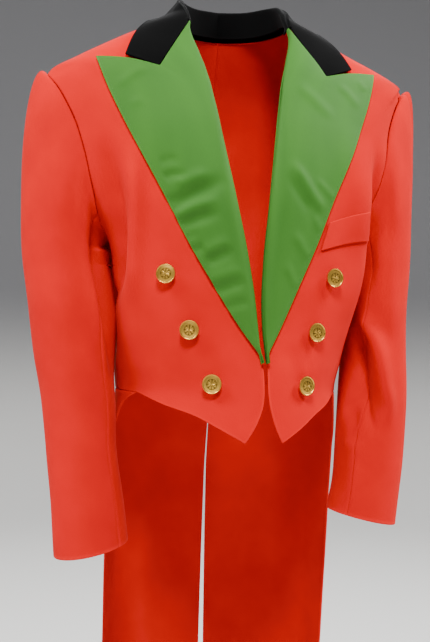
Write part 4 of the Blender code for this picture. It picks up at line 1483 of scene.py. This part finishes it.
    def stitch_line(self, sheet: np.ndarray) -> np.ndarray:
        """Finds the line of the hand stitches, just inside the top edge and the outer edge.

        Args:
            sheet: The lapel's rows of points.

        Returns:
            The points of the line.
        """
        surface, inset, peak = self.pattern.surface, self.stitch_inset, sheet[0, -1]
        corner = surface.point(self.drape.side.value, surface.seen(self.top_edge[:1], View.FRONT))
        notch = np.linalg.norm(corner - sheet[0], axis=-1).argmin()
        row = np.argmax(np.linalg.norm(sheet[:, -1] - peak, axis=-1) > inset)
        column = np.argmin(np.abs(np.linalg.norm(sheet[0] - peak, axis=-1) - inset))
        to_edge = np.linalg.norm(np.diff(sheet, axis=1), axis=-1)[:, ::-1].cumsum(1)[:, ::-1]
        outer = []
        for i in range(row, np.argmax(sheet[:, -1, 2] < self.stitch_end_z)):
            inner = np.argmax(to_edge[i] < inset)
            share = (inset - to_edge[i, inner]) / (to_edge[i, inner - 1] - to_edge[i, inner])
            outer.append(sheet[i, inner] * (1 - share) + sheet[i, inner - 1] * share)
        return np.concatenate([sheet[row, notch:column], outer])


@dataclass(frozen=True)
class Collar:
    """The velvet collar: one folded sheet, its stand inside and its fall outside, right round the neck.

    Each row of sections is the fold's place, the outer edge's and the neck seam's, from the centre back
    forward.
    """

    pattern: Pattern
    drape: Drape
    lapel: Lapel
    sections: tuple[tuple[Point, Point, Point], ...] = (
        ((0.0000, 0.0630, 0.0560), (0.0000, 0.0810, 0.0130), (0.0000, 0.0625, 0.0270)),
        ((0.0230, 0.0560, 0.0555), (0.0330, 0.0760, 0.0140), (0.0260, 0.0560, 0.0272)),
        ((0.0400, 0.0370, 0.0540), (0.0610, 0.0520, 0.0190), (0.0460, 0.0380, 0.0276)),
        ((0.0490, 0.0140, 0.0500), (0.0750, 0.0200, 0.0240), (0.0555, 0.0130, 0.0280)),
        ((0.0500, -0.0080, 0.0390), (0.0850, -0.0080, 0.0190), (0.0560, -0.0080, 0.0240)),
        ((0.0485, -0.0270, 0.0240), (0.1000, -0.0270, 0.0020), (0.0520, -0.0270, 0.0150)),
        ((0.0488, -0.0400, 0.0120), (0.1124, -0.0480, -0.0295), (0.0470, -0.0360, 0.0070)),
    )
    # Steps round half of the neck, up the stand, over the fold and down the fall, and the faces of each
    steps: int = 12
    stand_steps: int = 2
    fold_steps: int = 3
    fall_steps: int = 6
    fine: int = 5
    # The fold's radius at the centre back, and how much of it is lost by the front ends
    fold_radius: float = 0.0028
    fold_taper: float = 0.5
    # How far its middle stands off the panels' faces, beside half of its own cloth
    lift: float = 0.0019
    # How steeply its ends bend to the gorge and the notch, and how far off those they lie
    end_reach: int = 4
    end_shift: tuple[float, float] = (0.0005, 0.0006)
    cut: Cut = Cut(0.43, 0.12, 0.0242, "folded")

    def end(self) -> np.ndarray:
        """Draws the collar's front end, down the gorge from the fold and then up the notch.

        Returns:
            The points along it.
        """
        steps = self.fall_steps * self.fine // 2
        corner = np.array(self.sections[-1][1])[[0, 2]]
        notch = straight(self.lapel.gorge[-1], corner, steps)
        run = joined(curve_through(self.lapel.gorge, steps), notch) + self.end_shift
        places = self.pattern.surface.seen(run, View.FRONT)
        return self.drape.cloth(places, self.lift + SOLID_CLOTH / 2)

    def half(self) -> np.ndarray:
        """Shapes the left half of the sheet's middle, from the neck seam over the fold to the edge.

        Returns:
            Its rows of points, from the centre back forward.
        """
        fine, steps = self.fine, self.steps * self.fine
        guides = [curve_through([row[k] for row in self.sections], steps) for k in range(3)]
        fall_at = np.linspace(0, 1, self.fall_steps * fine + 1)[1:, None]
        turns = np.radians(np.linspace(180, 0, self.fold_steps * fine)[1:])
        up = np.array([0, 0, 1.0])
        rows = []
        for i, (fold, edge, seam) in enumerate(zip(*guides)):
            outward = unit((edge - fold) * (1, 1, 0))
            radius = self.fold_radius * (1 - self.fold_taper * i / steps)
            middle = fold + outward * radius - up * radius
            stand = straight(seam, middle - outward * radius, self.stand_steps * fine)
            arc = [middle + radius * (outward * math.cos(turn) + up * math.sin(turn)) for turn in turns]
            rows.append(np.concatenate([stand, arc, arc[-1] + (edge - arc[-1]) * fall_at]))
        rows = np.array(rows)
        bend = self.end()[1:] - rows[-1, -len(fall_at) :]
        reach = np.linspace(0, 1, steps + 1)[:, None, None] ** self.end_reach
        rows[:, -len(fall_at) :] += bend * reach
        fall = slice(-len(fall_at) - fine, None)
        rows[:, fall] = self.cleared(rows[:, fall])
        return rows

    def cleared(self, points: np.ndarray) -> np.ndarray:
        """Moves points that lie too near to the cloth below out from it.

        Args:
            points: Points of the collar's middle.

        Returns:
            The points, clear of that cloth.
        """
        places = self.pattern.surface.place_of(points)
        normal = self.pattern.surface.normal(self.drape.side.value, places)
        short = self.lift + SOLID_CLOTH / 2 - np.sum((points - self.drape.cloth(places)) * normal, -1)
        return points + normal * np.maximum(short, 0)[..., None]

    def build(self) -> None:
        """Builds and dresses the collar."""
        half = self.half()
        mirror = np.array([-1, 1, 1])
        middle = np.concatenate([(half * mirror)[:0:-1], half])
        middle = with_edge_lines(drawn_in(middle, middle, ALL_FREE, SOLID_CLOTH))
        towards = np.zeros_like(middle)
        towards[len(middle) // 2, -1] = -AHEAD
        normals = sheet_normals(middle, towards)
        points = middle + normals * SOLID_CLOTH / 2
        add_cloth(Shell("collar", points, normals, ALL_FREE, SOLID_CLOTH), BLACK_VELVET)


@dataclass(frozen=True)
class Welt:
    """The slanted welt of the breast pocket, as places seen from the front."""

    pattern: Pattern
    drape: Drape
    top: Places = ((0.0758, -0.1860), (0.1178, -0.1710))
    bottom: Places = ((0.0658, -0.2132), (0.1167, -0.1985))
    lift: float = 0.0003
    thickness: float = 0.0016
    # How strongly its free edges are lightened by a painted highlight
    edge_wear: float = 0.3
    # How many faces it has across and down
    faces: tuple[int, int] = (36, 20)
    cut: Cut = Cut(0.050, 0.028, 0.0014, "laid", ("front_left",))

    def build(self) -> None:
        """Builds and dresses the welt."""
        across, down = self.faces
        top, bottom = (straight(*line, across) for line in (self.top, self.bottom))
        ends = [straight(top[k], bottom[k], down) for k in (0, -1)]
        surface = self.pattern.surface
        places = patch(*(surface.seen(run, View.FRONT) for run in (top, bottom, *ends)))
        points = self.drape.cloth(places, self.lift + self.thickness)
        points = with_edge_lines(drawn_in(points, points, ALL_FREE, self.thickness))
        normals = sheet_normals(points, surface.normal(Side.LEFT.value, surface.place_of(points)))
        shell = Shell("pocket_welt", points, normals, ALL_FREE, self.thickness, self.edge_wear)
        add_cloth(shell, SCARLET_WOOL)


@dataclass(frozen=True)
class Button:
    """A struck metal button: a shank, a dished back, a raised rim, and a dome with a low rosette."""

    radius: float = 0.0090
    # From the shank's foot to the rim's outer side: radius and height above the seat
    back: Places = ((0.0026, 0.0), (0.0026, 0.0030), (0.0078, 0.0034), (0.0087, 0.0038))
    side_height: float = 0.0044
    # How much of the radius the face takes to round over to its side
    side_round: float = 0.015
    rim_height: float = 0.0054
    rim_width: float = 0.0012
    rim_fullness: float = 0.6
    floor_height: float = 0.0048
    dome: float = 0.0009
    ornament_radius: float = 0.0052
    ornament_depth: float = 0.00028
    # How much of the ornament's radius its floor takes to rise to the dome
    ornament_edge: float = 0.08
    petals: int = 8
    # How full the petals are round the button, and from its middle out
    petal_fullness: tuple[float, float] = (0.8, 0.6)
    # The round boss in the middle, and how much further out it has sunk
    boss_radius: float = 0.0007
    boss_edge: float = 0.0005
    segments: int = 96
    rings: int = 30
    # Edges that turn more than this, in degrees, stay sharp
    sharp_turn: float = 50.0

    def face_height(self, radius: np.ndarray, turn: np.ndarray) -> tuple[np.ndarray, np.ndarray]:
        """The height of the button's face, and how deep in its ornament a point lies.

        Args:
            radius: Distances from the middle.
            turn: Angles round it.

        Returns:
            Heights above the seat, and hollows from 0 to 1.
        """
        inner = self.radius - self.rim_width
        dome = self.floor_height + self.dome * (1 - np.minimum(radius / inner, 1) ** 2)
        over = np.clip((radius - inner) / self.rim_width, 0, 1)
        rim = (self.rim_height - self.floor_height) * np.sin(math.pi * over) ** self.rim_fullness
        share = radius / self.ornament_radius
        round_it, outward = self.petal_fullness
        petal = np.abs(np.cos(self.petals / 2 * turn)) ** round_it
        petal = petal * np.sin(math.pi * np.clip(share, 0, 1)) ** outward
        boss = 1 - smooth_step((radius - self.boss_radius) / self.boss_edge)
        within = 1 - smooth_step((share - 1 + self.ornament_edge) / self.ornament_edge)
        hollow = within * (1 - np.maximum(petal, boss))
        height = dome + np.where(radius > inner, rim, 0) - self.ornament_depth * hollow
        drop = smooth_step((radius / self.radius - 1 + self.side_round) / self.side_round)
        return height - (height - self.side_height) * drop, hollow

    def turned(self) -> tuple[np.ndarray, np.ndarray]:
        """Turns the button's outline round its middle.

        Returns:
            Its rings of points, from the shank's foot out, round and in over the face, and their hollows.
        """
        turn = np.linspace(0, 2 * math.pi, self.segments, endpoint=False)
        outline = [(radius, np.full_like(turn, height), 0 * turn) for radius, height in self.back]
        for radius in self.radius * np.linspace(1, 0, self.rings, endpoint=False):
            outline.append((radius, *self.face_height(np.full_like(turn, radius), turn)))
        rings = [np.stack([r * np.cos(turn), r * np.sin(turn), height], 1) for r, height, _ in outline]
        return np.array(rings), np.array([hollow for _, _, hollow in outline])

    def build(self, name: str, seat: np.ndarray, outward: np.ndarray) -> None:
        """Builds and dresses one button.

        Args:
            name: Its name, which is its solid's.
            seat: The point that its shank stands on.
            outward: The direction out of the cloth there.
        """
        rings, hollows = self.turned()
        top, _ = self.face_height(np.zeros(1), np.zeros(1))
        points = np.concatenate([rings.reshape(-1, 3), [(0, 0, 0), (0, 0, top[0])]])
        number = np.arange(rings.shape[0] * self.segments).reshape(-1, self.segments)
        following = np.roll(number, -1, axis=1)
        quads = np.stack([number[:-1], following[:-1], following[1:], number[1:]], -1)
        foot, middle = np.full(self.segments, len(points) - 2), np.full(self.segments, len(points) - 1)
        faces = quads.reshape(-1, 4).tolist()
        faces += np.stack([following[0], number[0], foot], 1).tolist()
        faces += np.stack([number[-1], following[-1], middle], 1).tolist()
        mesh = bpy.data.meshes.new(name)
        mesh.from_pydata(points.tolist(), [], faces)
        # How deep in the ornament each point lies, which the material darkens with painted shade and
        # tarnish
        hollow = np.append(hollows, (0, 0)).astype(np.float32)
        mesh.attributes.new("hollow", "FLOAT", "POINT").data.foreach_set("value", hollow)
        mesh.shade_smooth()
        mesh.set_sharp_from_angle(angle=math.radians(self.sharp_turn))
        facing = Vector((0, 0, 1)).rotation_difference(Vector(outward)).to_matrix().to_4x4()
        mesh.transform(Matrix.Translation(Vector(seat)) @ facing)
        add_piece("brass_" + name, mesh, GILT_BRASS, [name])


@dataclass(frozen=True)
class ButtonRow:
    """The three buttons of one front.

    Each place is across and up, seen from the front, and the share of the way to straight ahead that the
    button turns on its shank.
    """

    drape: Drape
    places: Table
    button: Button = Button()

    def build(self) -> None:
        """Builds and dresses the buttons, each seated on its front."""
        surface, side = self.drape.surface, self.drape.side
        for number, (x, z, ahead) in enumerate(self.places, 1):
            at = surface.seen([(x, z)], View.FRONT)
            outward = surface.normal(side.value, at)[0]
            facing = unit(outward * (1 - ahead) + AHEAD * ahead)
            tilt = math.acos(float(np.dot(outward, facing)))
            foot_radius, _ = self.button.back[0]
            seat = self.drape.cloth(at)[0] + outward * (SOLID_GAP + foot_radius * math.sin(tilt))
            self.button.build(f"button_{side.label}_{number}", seat, facing)


@dataclass(frozen=True)
class Studio:
    """A plain pale room with soft light, and the camera at the photograph's place."""

    floor_z: float = -1.17
    # The sweep's outline from the middle of the floor out and up: radius and height above the floor
    sweep: Places = ((0.0, 0.0), (3.4, 0.0), (4.1, 0.16), (4.55, 0.6), (4.7, 1.3), (4.7, 6.0))
    sweep_rings: int = 40
    sweep_segments: int = 72
    # How far up the wall its grey is reached
    grey_height: float = 1.1
    # The camera's turn and roll in degrees, and its lens in millimetres
    camera_at: Point = (-0.2110, -0.9727, -0.2807)
    camera_turn: float = -11.6
    camera_roll: float = 0.92
    lens: float = 54.17
    # Each light: name, place, what it looks at, size, watts
    lights: tuple[tuple[str, Point, Point, float, float], ...] = (
        ("right_side_light", (-2.1, 0.0, 1.9), (0.0, 0.0, -0.25), 1.0, 132.0),
        ("left_side_light", (2.1, -0.1, 1.8), (0.0, 0.0, -0.25), 1.0, 172.0),
        ("front_light", (-0.4, -2.0, 2.2), (0.0, 0.0, -0.30), 0.8, 170.0),
        ("back_light", (0.6, 2.4, 1.9), (0.0, 0.0, -0.2), 1.6, 70.0),
    )
    floor: str = "#D6D5D2"
    wall: str = "#6C6C6E"
    sky: str = "#F4F4F6"
    sky_strength: float = 0.09

    def add_camera(self) -> None:
        """Adds the camera, level, turned and rolled as the photograph's."""
        data = bpy.data.cameras.new("camera")
        data.lens = self.lens
        camera = add_object("camera", data)
        turn, roll = math.radians(-self.camera_turn), math.radians(self.camera_roll)
        ahead = Vector((math.sin(turn), math.cos(turn), 0))
        right = ahead.cross(Vector((0, 0, 1)))
        up = right.cross(ahead)
        rolled_right = right * math.cos(roll) + up * math.sin(roll)
        rolled_up = up * math.cos(roll) - right * math.sin(roll)
        facing = Matrix((rolled_right, rolled_up, -ahead)).transposed().to_4x4()
        camera.matrix_world = Matrix.Translation(self.camera_at) @ facing
        bpy.context.scene.camera = camera

    def add_lights(self) -> None:
        """Adds the soft area lights and the pale sky."""
        for name, place, target, size, watts in self.lights:
            data = bpy.data.lights.new(name, "AREA")
            data.shape = "DISK"
            data.size = size
            data.energy = watts
            light = add_object(name, data)
            light.location = place
            light.rotation_euler = (Vector(target) - Vector(place)).to_track_quat("-Z", "Y").to_euler()
        world = bpy.data.worlds.new("sky")
        world.use_nodes = True
        background = world.node_tree.nodes["Background"]
        background.inputs["Color"].default_value = linear(self.sky)
        background.inputs["Strength"].default_value = self.sky_strength
        bpy.context.scene.world = world

    def paper(self) -> bpy.types.Material:
        """Builds matt backdrop paper, pale on the floor and grey up the wall, so the coat stands out.

        Returns:
            The material.
        """
        paper = bpy.data.materials.new("matt_paper")
        paper.use_nodes = True
        tree = paper.node_tree
        place = add_node(tree, "ShaderNodeTexCoord").outputs["Object"]
        height = add_node(tree, "ShaderNodeSeparateXYZ", {}, {"Vector": place}).outputs["Z"]
        share = add_node(
            tree,
            "ShaderNodeMapRange",
            {"interpolation_type": "SMOOTHSTEP"},
            {"Value": height, "From Min": self.floor_z, "From Max": self.floor_z + self.grey_height},
        ).outputs["Result"]
        ramp = add_node(tree, "ShaderNodeValToRGB", {}, {"Fac": share})
        for stop, colour in zip(ramp.color_ramp.elements, (self.floor, self.wall)):
            stop.color = linear(colour)
        shader = tree.nodes["Principled BSDF"]
        tree.links.new(ramp.outputs["Color"], shader.inputs["Base Color"])
        shader.inputs["Roughness"].default_value = 0.9
        return paper

    def add_sweep(self) -> None:
        """Adds the floor that sweeps up into the walls."""
        outline = curve_through(self.sweep, self.sweep_rings)
        count = self.sweep_segments
        turn = np.linspace(0, 2 * math.pi, count, endpoint=False)
        points = [(0, 0, self.floor_z)]
        for radius, height in outline[1:]:
            points += [(radius * math.cos(a), radius * math.sin(a), self.floor_z + height) for a in turn]
        pairs = [(k, (k + 1) % count) for k in range(count)]
        faces = [(0, 1 + a, 1 + b) for a, b in pairs]
        for low in range(1, 1 + (len(outline) - 2) * count, count):
            high = low + count
            faces += [(low + a, high + a, high + b, low + b) for a, b in pairs]
        mesh = bpy.data.meshes.new("sweep")
        mesh.from_pydata(points, [], faces)
        mesh.shade_smooth()
        mesh.materials.append(self.paper())
        add_object("sweep", mesh)

    def build(self) -> None:
        """Builds the room."""
        self.add_camera()
        self.add_lights()
        self.add_sweep()


# Folds of the body, as places across and up in the view that each names, from the front where it names none
RIGHT_BODY_FOLDS = (
    Fold(
        ((0.1085, -0.110), (0.1066, -0.147), (0.1052, -0.183), (0.1050, -0.225), (0.1056, -0.272)),
        0.0050, 0.009, (0.3, 0.25),
    ),
    Fold(
        ((0.1338, -0.091), (0.1299, -0.123), (0.1248, -0.155), (0.1212, -0.183), (0.1195, -0.225),
         (0.1200, -0.275)), -0.0115, 0.011, (0.45, 0.25),
    ),
    Fold(
        ((0.1215, -0.245), (0.1235, -0.262), (0.1290, -0.280), (0.1350, -0.300)),
        -0.0060, 0.008, (0.4, 0.4),
    ),
    Fold(
        ((-0.010, -0.165), (-0.004, -0.215), (0.000, -0.260), (0.002, -0.345)), -0.0150, 0.030, (0.3, 0.45),
        View.SIDE,
    ),
    Fold(((0.0900, -0.210), (0.0720, -0.265), (0.0620, -0.330)), 0.0010, 0.014),
    Fold(
        ((0.045, -0.060), (0.052, -0.140), (0.050, -0.230), (0.040, -0.330)), 0.0022, 0.016, view=View.BACK,
    ),
    Fold(((0.085, -0.080), (0.080, -0.160), (0.068, -0.250)), -0.0020, 0.014, view=View.BACK),
    Fold(((0.028, -0.385), (0.034, -0.520), (0.038, -0.775)), 0.0040, 0.017, (0.4, 0.0), View.BACK),
    Fold(((0.062, -0.380), (0.070, -0.540), (0.078, -0.775)), -0.0036, 0.016, (0.35, 0.0), View.BACK),
    Fold(((0.060, -0.400), (0.066, -0.560), (0.070, -0.770)), 0.0034, 0.015, (0.4, 0.0), View.SIDE),
)
LEFT_BODY_FOLDS = (
    Fold(((0.000, -0.001), (0.000, -0.016), (0.000, -0.034)), 0.0030, 0.040, (1.0, 0.0), View.SIDE),
    Fold(
        ((-0.004, -0.050), (-0.026, -0.062), (-0.042, -0.090), (-0.050, -0.130)),
        -0.0070, 0.020, (0.0, 0.6), View.SIDE,
    ),
    Fold(
        ((0.1185, -0.085), (0.1155, -0.130), (0.1145, -0.171), (0.1150, -0.210), (0.1110, -0.257),
         (0.1050, -0.310)), 0.0100, 0.022, (0.35, 0.4),
    ),
    Fold(
        ((0.1400, -0.092), (0.1370, -0.135), (0.1345, -0.180), (0.1310, -0.220), (0.1255, -0.275)),
        -0.0100, 0.009, (0.4, 0.3),
    ),
    Fold(
        ((0.0741, -0.2400), (0.0658, -0.2733), (0.0510, -0.3017), (0.0430, -0.3350)),
        -0.0005, 0.0026, (0.1, 0.2),
    ),
    Fold(((0.0200, -0.300), (0.0310, -0.325), (0.0360, -0.352)), -0.0012, 0.010),
    Fold(
        ((0.048, -0.070), (0.055, -0.150), (0.048, -0.240), (0.042, -0.325)), 0.0020, 0.015, view=View.BACK,
    ),
    Fold(((0.090, -0.085), (0.083, -0.175), (0.066, -0.262)), -0.0022, 0.013, view=View.BACK),
    Fold(((0.032, -0.380), (0.040, -0.540), (0.043, -0.775)), 0.0036, 0.016, (0.4, 0.0), View.BACK),
    Fold(((0.068, -0.385), (0.074, -0.520), (0.084, -0.775)), -0.0040, 0.017, (0.3, 0.0), View.BACK),
    Fold(((0.056, -0.405), (0.062, -0.550), (0.072, -0.770)), 0.0030, 0.016, (0.45, 0.0), View.SIDE),
)
# Creases of the lapels, seen from the front
RIGHT_LAPEL_FOLDS = (
    Fold(((0.0902, -0.0430), (0.1042, -0.0491), (0.1162, -0.0587), (0.1218, -0.0647)), 0.0009, 0.005),
    Fold(((0.0964, -0.0752), (0.1101, -0.0811)), 0.0007, 0.005),
    Fold(((0.0834, -0.1371), (0.0743, -0.1343), (0.0641, -0.1377)), -0.0010, 0.004, (0.1, 0.5)),
    Fold(
        ((0.0800, -0.1520), (0.0737, -0.1481), (0.0628, -0.1490), (0.0559, -0.1480)),
        -0.0018, 0.004, (0.1, 0.5),
    ),
    Fold(((0.0725, -0.1560), (0.0575, -0.1520), (0.0380, -0.1453)), 0.0016, 0.005, (0.2, 0.4)),
    Fold(
        ((0.0775, -0.1780), (0.0670, -0.1725), (0.0563, -0.1663), (0.0448, -0.1610), (0.0330, -0.1555),
         (0.0220, -0.1509)), -0.0042, 0.0065, (0.05, 0.5),
    ),
    Fold(
        ((0.0721, -0.1847), (0.0601, -0.1792), (0.0457, -0.1748), (0.0302, -0.1712)),
        0.0016, 0.005, (0.1, 0.4),
    ),
    Fold(
        ((0.0698, -0.1975), (0.0616, -0.1923), (0.0519, -0.1879), (0.0414, -0.1849), (0.0290, -0.1834)),
        -0.0034, 0.005, (0.05, 0.5),
    ),
    Fold(((0.0636, -0.2060), (0.0577, -0.2031), (0.0502, -0.1992)), -0.0012, 0.0035, (0.0, 0.6)),
    Fold(((0.0581, -0.2175), (0.0518, -0.2155), (0.0458, -0.2115)), -0.0016, 0.0035, (0.0, 0.5)),
    Fold(((0.0481, -0.2192), (0.0357, -0.2129), (0.0228, -0.2080)), 0.0014, 0.005, (0.2, 0.4)),
    Fold(
        ((0.0478, -0.2298), (0.0392, -0.2250), (0.0297, -0.2201), (0.0197, -0.2156)),
        -0.0026, 0.0045, (0.3, 0.4),
    ),
    Fold(
        ((0.0461, -0.2441), (0.0360, -0.2411), (0.0239, -0.2371), (0.0117, -0.2351)),
        0.0014, 0.005, (0.2, 0.4),
    ),
    Fold(
        ((0.0399, -0.2553), (0.0321, -0.2516), (0.0222, -0.2477), (0.0106, -0.2446)),
        -0.0026, 0.0045, (0.05, 0.4),
    ),
    Fold(((0.0320, -0.2705), (0.0217, -0.2657), (0.0070, -0.2641)), -0.0014, 0.0035, (0.1, 0.4)),
)
LEFT_LAPEL_FOLDS = (
    Fold(((0.0450, -0.0508), (0.0573, -0.0620), (0.0718, -0.0751), (0.0862, -0.0879)), 0.0008, 0.006),
    Fold(((0.0902, -0.0479), (0.1038, -0.0573), (0.1170, -0.0713)), 0.0007, 0.005),
    Fold(((0.1176, -0.0395), (0.1250, -0.0512)), 0.0005, 0.004),
    Fold(
        ((0.0334, -0.1300), (0.0451, -0.1464), (0.0553, -0.1620), (0.0700, -0.1789)),
        0.0018, 0.0055, (0.3, 0.2),
    ),
    Fold(
        ((0.0309, -0.1436), (0.0401, -0.1606), (0.0502, -0.1747), (0.0610, -0.1889)),
        -0.0010, 0.005, (0.3, 0.2),
    ),
    Fold(((0.0577, -0.1453), (0.0702, -0.1560), (0.0809, -0.1637)), 0.0008, 0.0035, (0.4, 0.1)),
    Fold(((0.0466, -0.1720), (0.0570, -0.1836), (0.0640, -0.1951)), 0.0009, 0.0040, (0.4, 0.1)),
    Fold(((0.0321, -0.1973), (0.0418, -0.2092), (0.0498, -0.2211)), 0.0010, 0.0045, (0.4, 0.1)),
    Fold(((0.0230, -0.2258), (0.0303, -0.2374), (0.0359, -0.2493)), 0.0008, 0.0040, (0.4, 0.1)),
)
# The sleeves' levels, their heads' swell, and their folds as degrees round the sleeve and heights
RIGHT_HEAD_SWELL = (0.019, 0.028)
LEFT_HEAD_SWELL = (0.024, 0.042)
RIGHT_SLEEVE_LEVELS = (
    (-0.2280, 0.1685, -0.004, 0.0370, 0.0475, 0.00),
    (-0.2630, 0.1640, -0.010, 0.0370, 0.0465, 0.00),
    (-0.3120, 0.1580, -0.015, 0.0365, 0.0450, 0.02),
    (-0.3600, 0.1510, -0.020, 0.0357, 0.0430, 0.04),
    (-0.4070, 0.1475, -0.030, 0.0335, 0.0400, 0.08),
    (-0.4540, 0.1420, -0.038, 0.0343, 0.0380, 0.14),
    (-0.4990, 0.1377, -0.045, 0.0352, 0.0370, 0.22),
)
LEFT_SLEEVE_LEVELS = (
    (-0.2280, 0.1618, -0.004, 0.0303, 0.0475, 0.00),
    (-0.2550, 0.1594, -0.008, 0.0299, 0.0465, 0.00),
    (-0.3080, 0.1547, -0.015, 0.0322, 0.0450, 0.02),
    (-0.3600, 0.1515, -0.022, 0.0345, 0.0430, 0.05),
    (-0.4110, 0.1455, -0.030, 0.0342, 0.0400, 0.10),
    (-0.4450, 0.1405, -0.036, 0.0335, 0.0380, 0.16),
    (-0.4755, 0.1345, -0.042, 0.0345, 0.0365, 0.22),
)
RIGHT_SLEEVE_FOLDS = (
    Fold(
        ((96, -0.130), (114, -0.168), (128, -0.205), (132, -0.243), (137, -0.281), (145, -0.306),
         (142, -0.345)), 0.0052, 0.008,
    ),
    Fold(
        ((120, -0.160), (140, -0.205), (146, -0.243), (151, -0.281), (158, -0.320), (156, -0.350)),
        -0.0085, 0.0100, (0.35, 0.35),
    ),
    Fold(
        ((172, -0.160), (178, -0.195), (182, -0.240), (184, -0.290), (184, -0.360)),
        0.0125, 0.024, (0.35, 0.45),
    ),
    Fold(((262, -0.270), (285, -0.305), (300, -0.330)), -0.0026, 0.007),
    Fold(((240, -0.300), (262, -0.325), (280, -0.352)), -0.0022, 0.006),
    Fold(((250, -0.285), (272, -0.316), (290, -0.342)), 0.0022, 0.006),
    Fold(((300, -0.120), (310, -0.190), (300, -0.260)), 0.0018, 0.012),
)
LEFT_SLEEVE_FOLDS = (
    Fold(
        ((155, -0.268), (127, -0.287), (110, -0.306), (99, -0.336), (90, -0.364), (88, -0.390)),
        0.0090, 0.008, (0.25, 0.3),
    ),
    Fold(
        ((168, -0.285), (154, -0.305), (143, -0.330), (132, -0.356), (121, -0.385)),
        -0.0150, 0.014, (0.25, 0.35),
    ),
    Fold(
        ((112, -0.152), (126, -0.177), (137, -0.207), (140, -0.238), (142, -0.262)),
        -0.0060, 0.011, (0.35, 0.35),
    ),
    Fold(
        ((160, -0.297), (160, -0.320), (158, -0.343), (150, -0.366), (138, -0.392)),
        -0.0070, 0.012, (0.35, 0.4),
    ),
    Fold(((112, -0.186), (104, -0.222), (97, -0.262), (92, -0.300)), 0.0032, 0.012, (0.3, 0.35)),
    Fold(((140, -0.343), (124, -0.363), (114, -0.3775), (103, -0.3925)), -0.0036, 0.0040),
    Fold(((170, -0.358), (146, -0.379), (133, -0.388)), -0.0036, 0.006),
    Fold(((165, -0.396), (142, -0.403), (120, -0.406)), 0.0026, 0.007),
    Fold(((142, -0.397), (142, -0.456)), 0.0014, 0.008),
    Fold(((258, -0.262), (280, -0.292), (298, -0.312)), -0.0028, 0.007),
    Fold(((245, -0.278), (268, -0.306), (286, -0.328)), 0.0024, 0.006),
    Fold(((238, -0.300), (258, -0.326), (276, -0.350)), -0.0024, 0.006),
)
# The buttons, from the top: across, up, and the share of the way to straight ahead that each turns
RIGHT_BUTTON_PLACES = ((0.0788, -0.2385, 0.30), (0.0602, -0.2890, 0.30), (0.0439, -0.3377, 0.30))
LEFT_BUTTON_PLACES = ((0.0788, -0.2385, 0.55), (0.0575, -0.2900, 0.40), (0.0405, -0.3390, 0.30))


def main() -> None:
    """Builds the coat's pieces in order, then the room."""
    logging.basicConfig(level=logging.INFO, format="%(message)s")
    pattern = Pattern()
    surface = pattern.surface
    right_sleeve = (RIGHT_SLEEVE_LEVELS, RIGHT_HEAD_SWELL, RIGHT_SLEEVE_FOLDS)
    left_sleeve = (LEFT_SLEEVE_LEVELS, LEFT_HEAD_SWELL, LEFT_SLEEVE_FOLDS)
    sides = (
        (Side.RIGHT, RIGHT_BODY_FOLDS, RIGHT_LAPEL_FOLDS, right_sleeve, RIGHT_BUTTON_PLACES),
        (Side.LEFT, LEFT_BODY_FOLDS, LEFT_LAPEL_FOLDS, left_sleeve, LEFT_BUTTON_PLACES),
    )
    for side, body_folds, lapel_folds, sleeve, button_places in sides:
        drape = Drape(surface, side, body_folds)
        Bodice(pattern, drape).build()
        Sleeve(pattern, drape, *sleeve).build()
        lapel = Lapel(pattern, drape, lapel_folds)
        lapel.build()
        ButtonRow(drape, button_places).build()
    Collar(pattern, drape, lapel).build()
    Welt(pattern, drape).build()
    Studio().build()


if __name__ == "__main__":
    main()
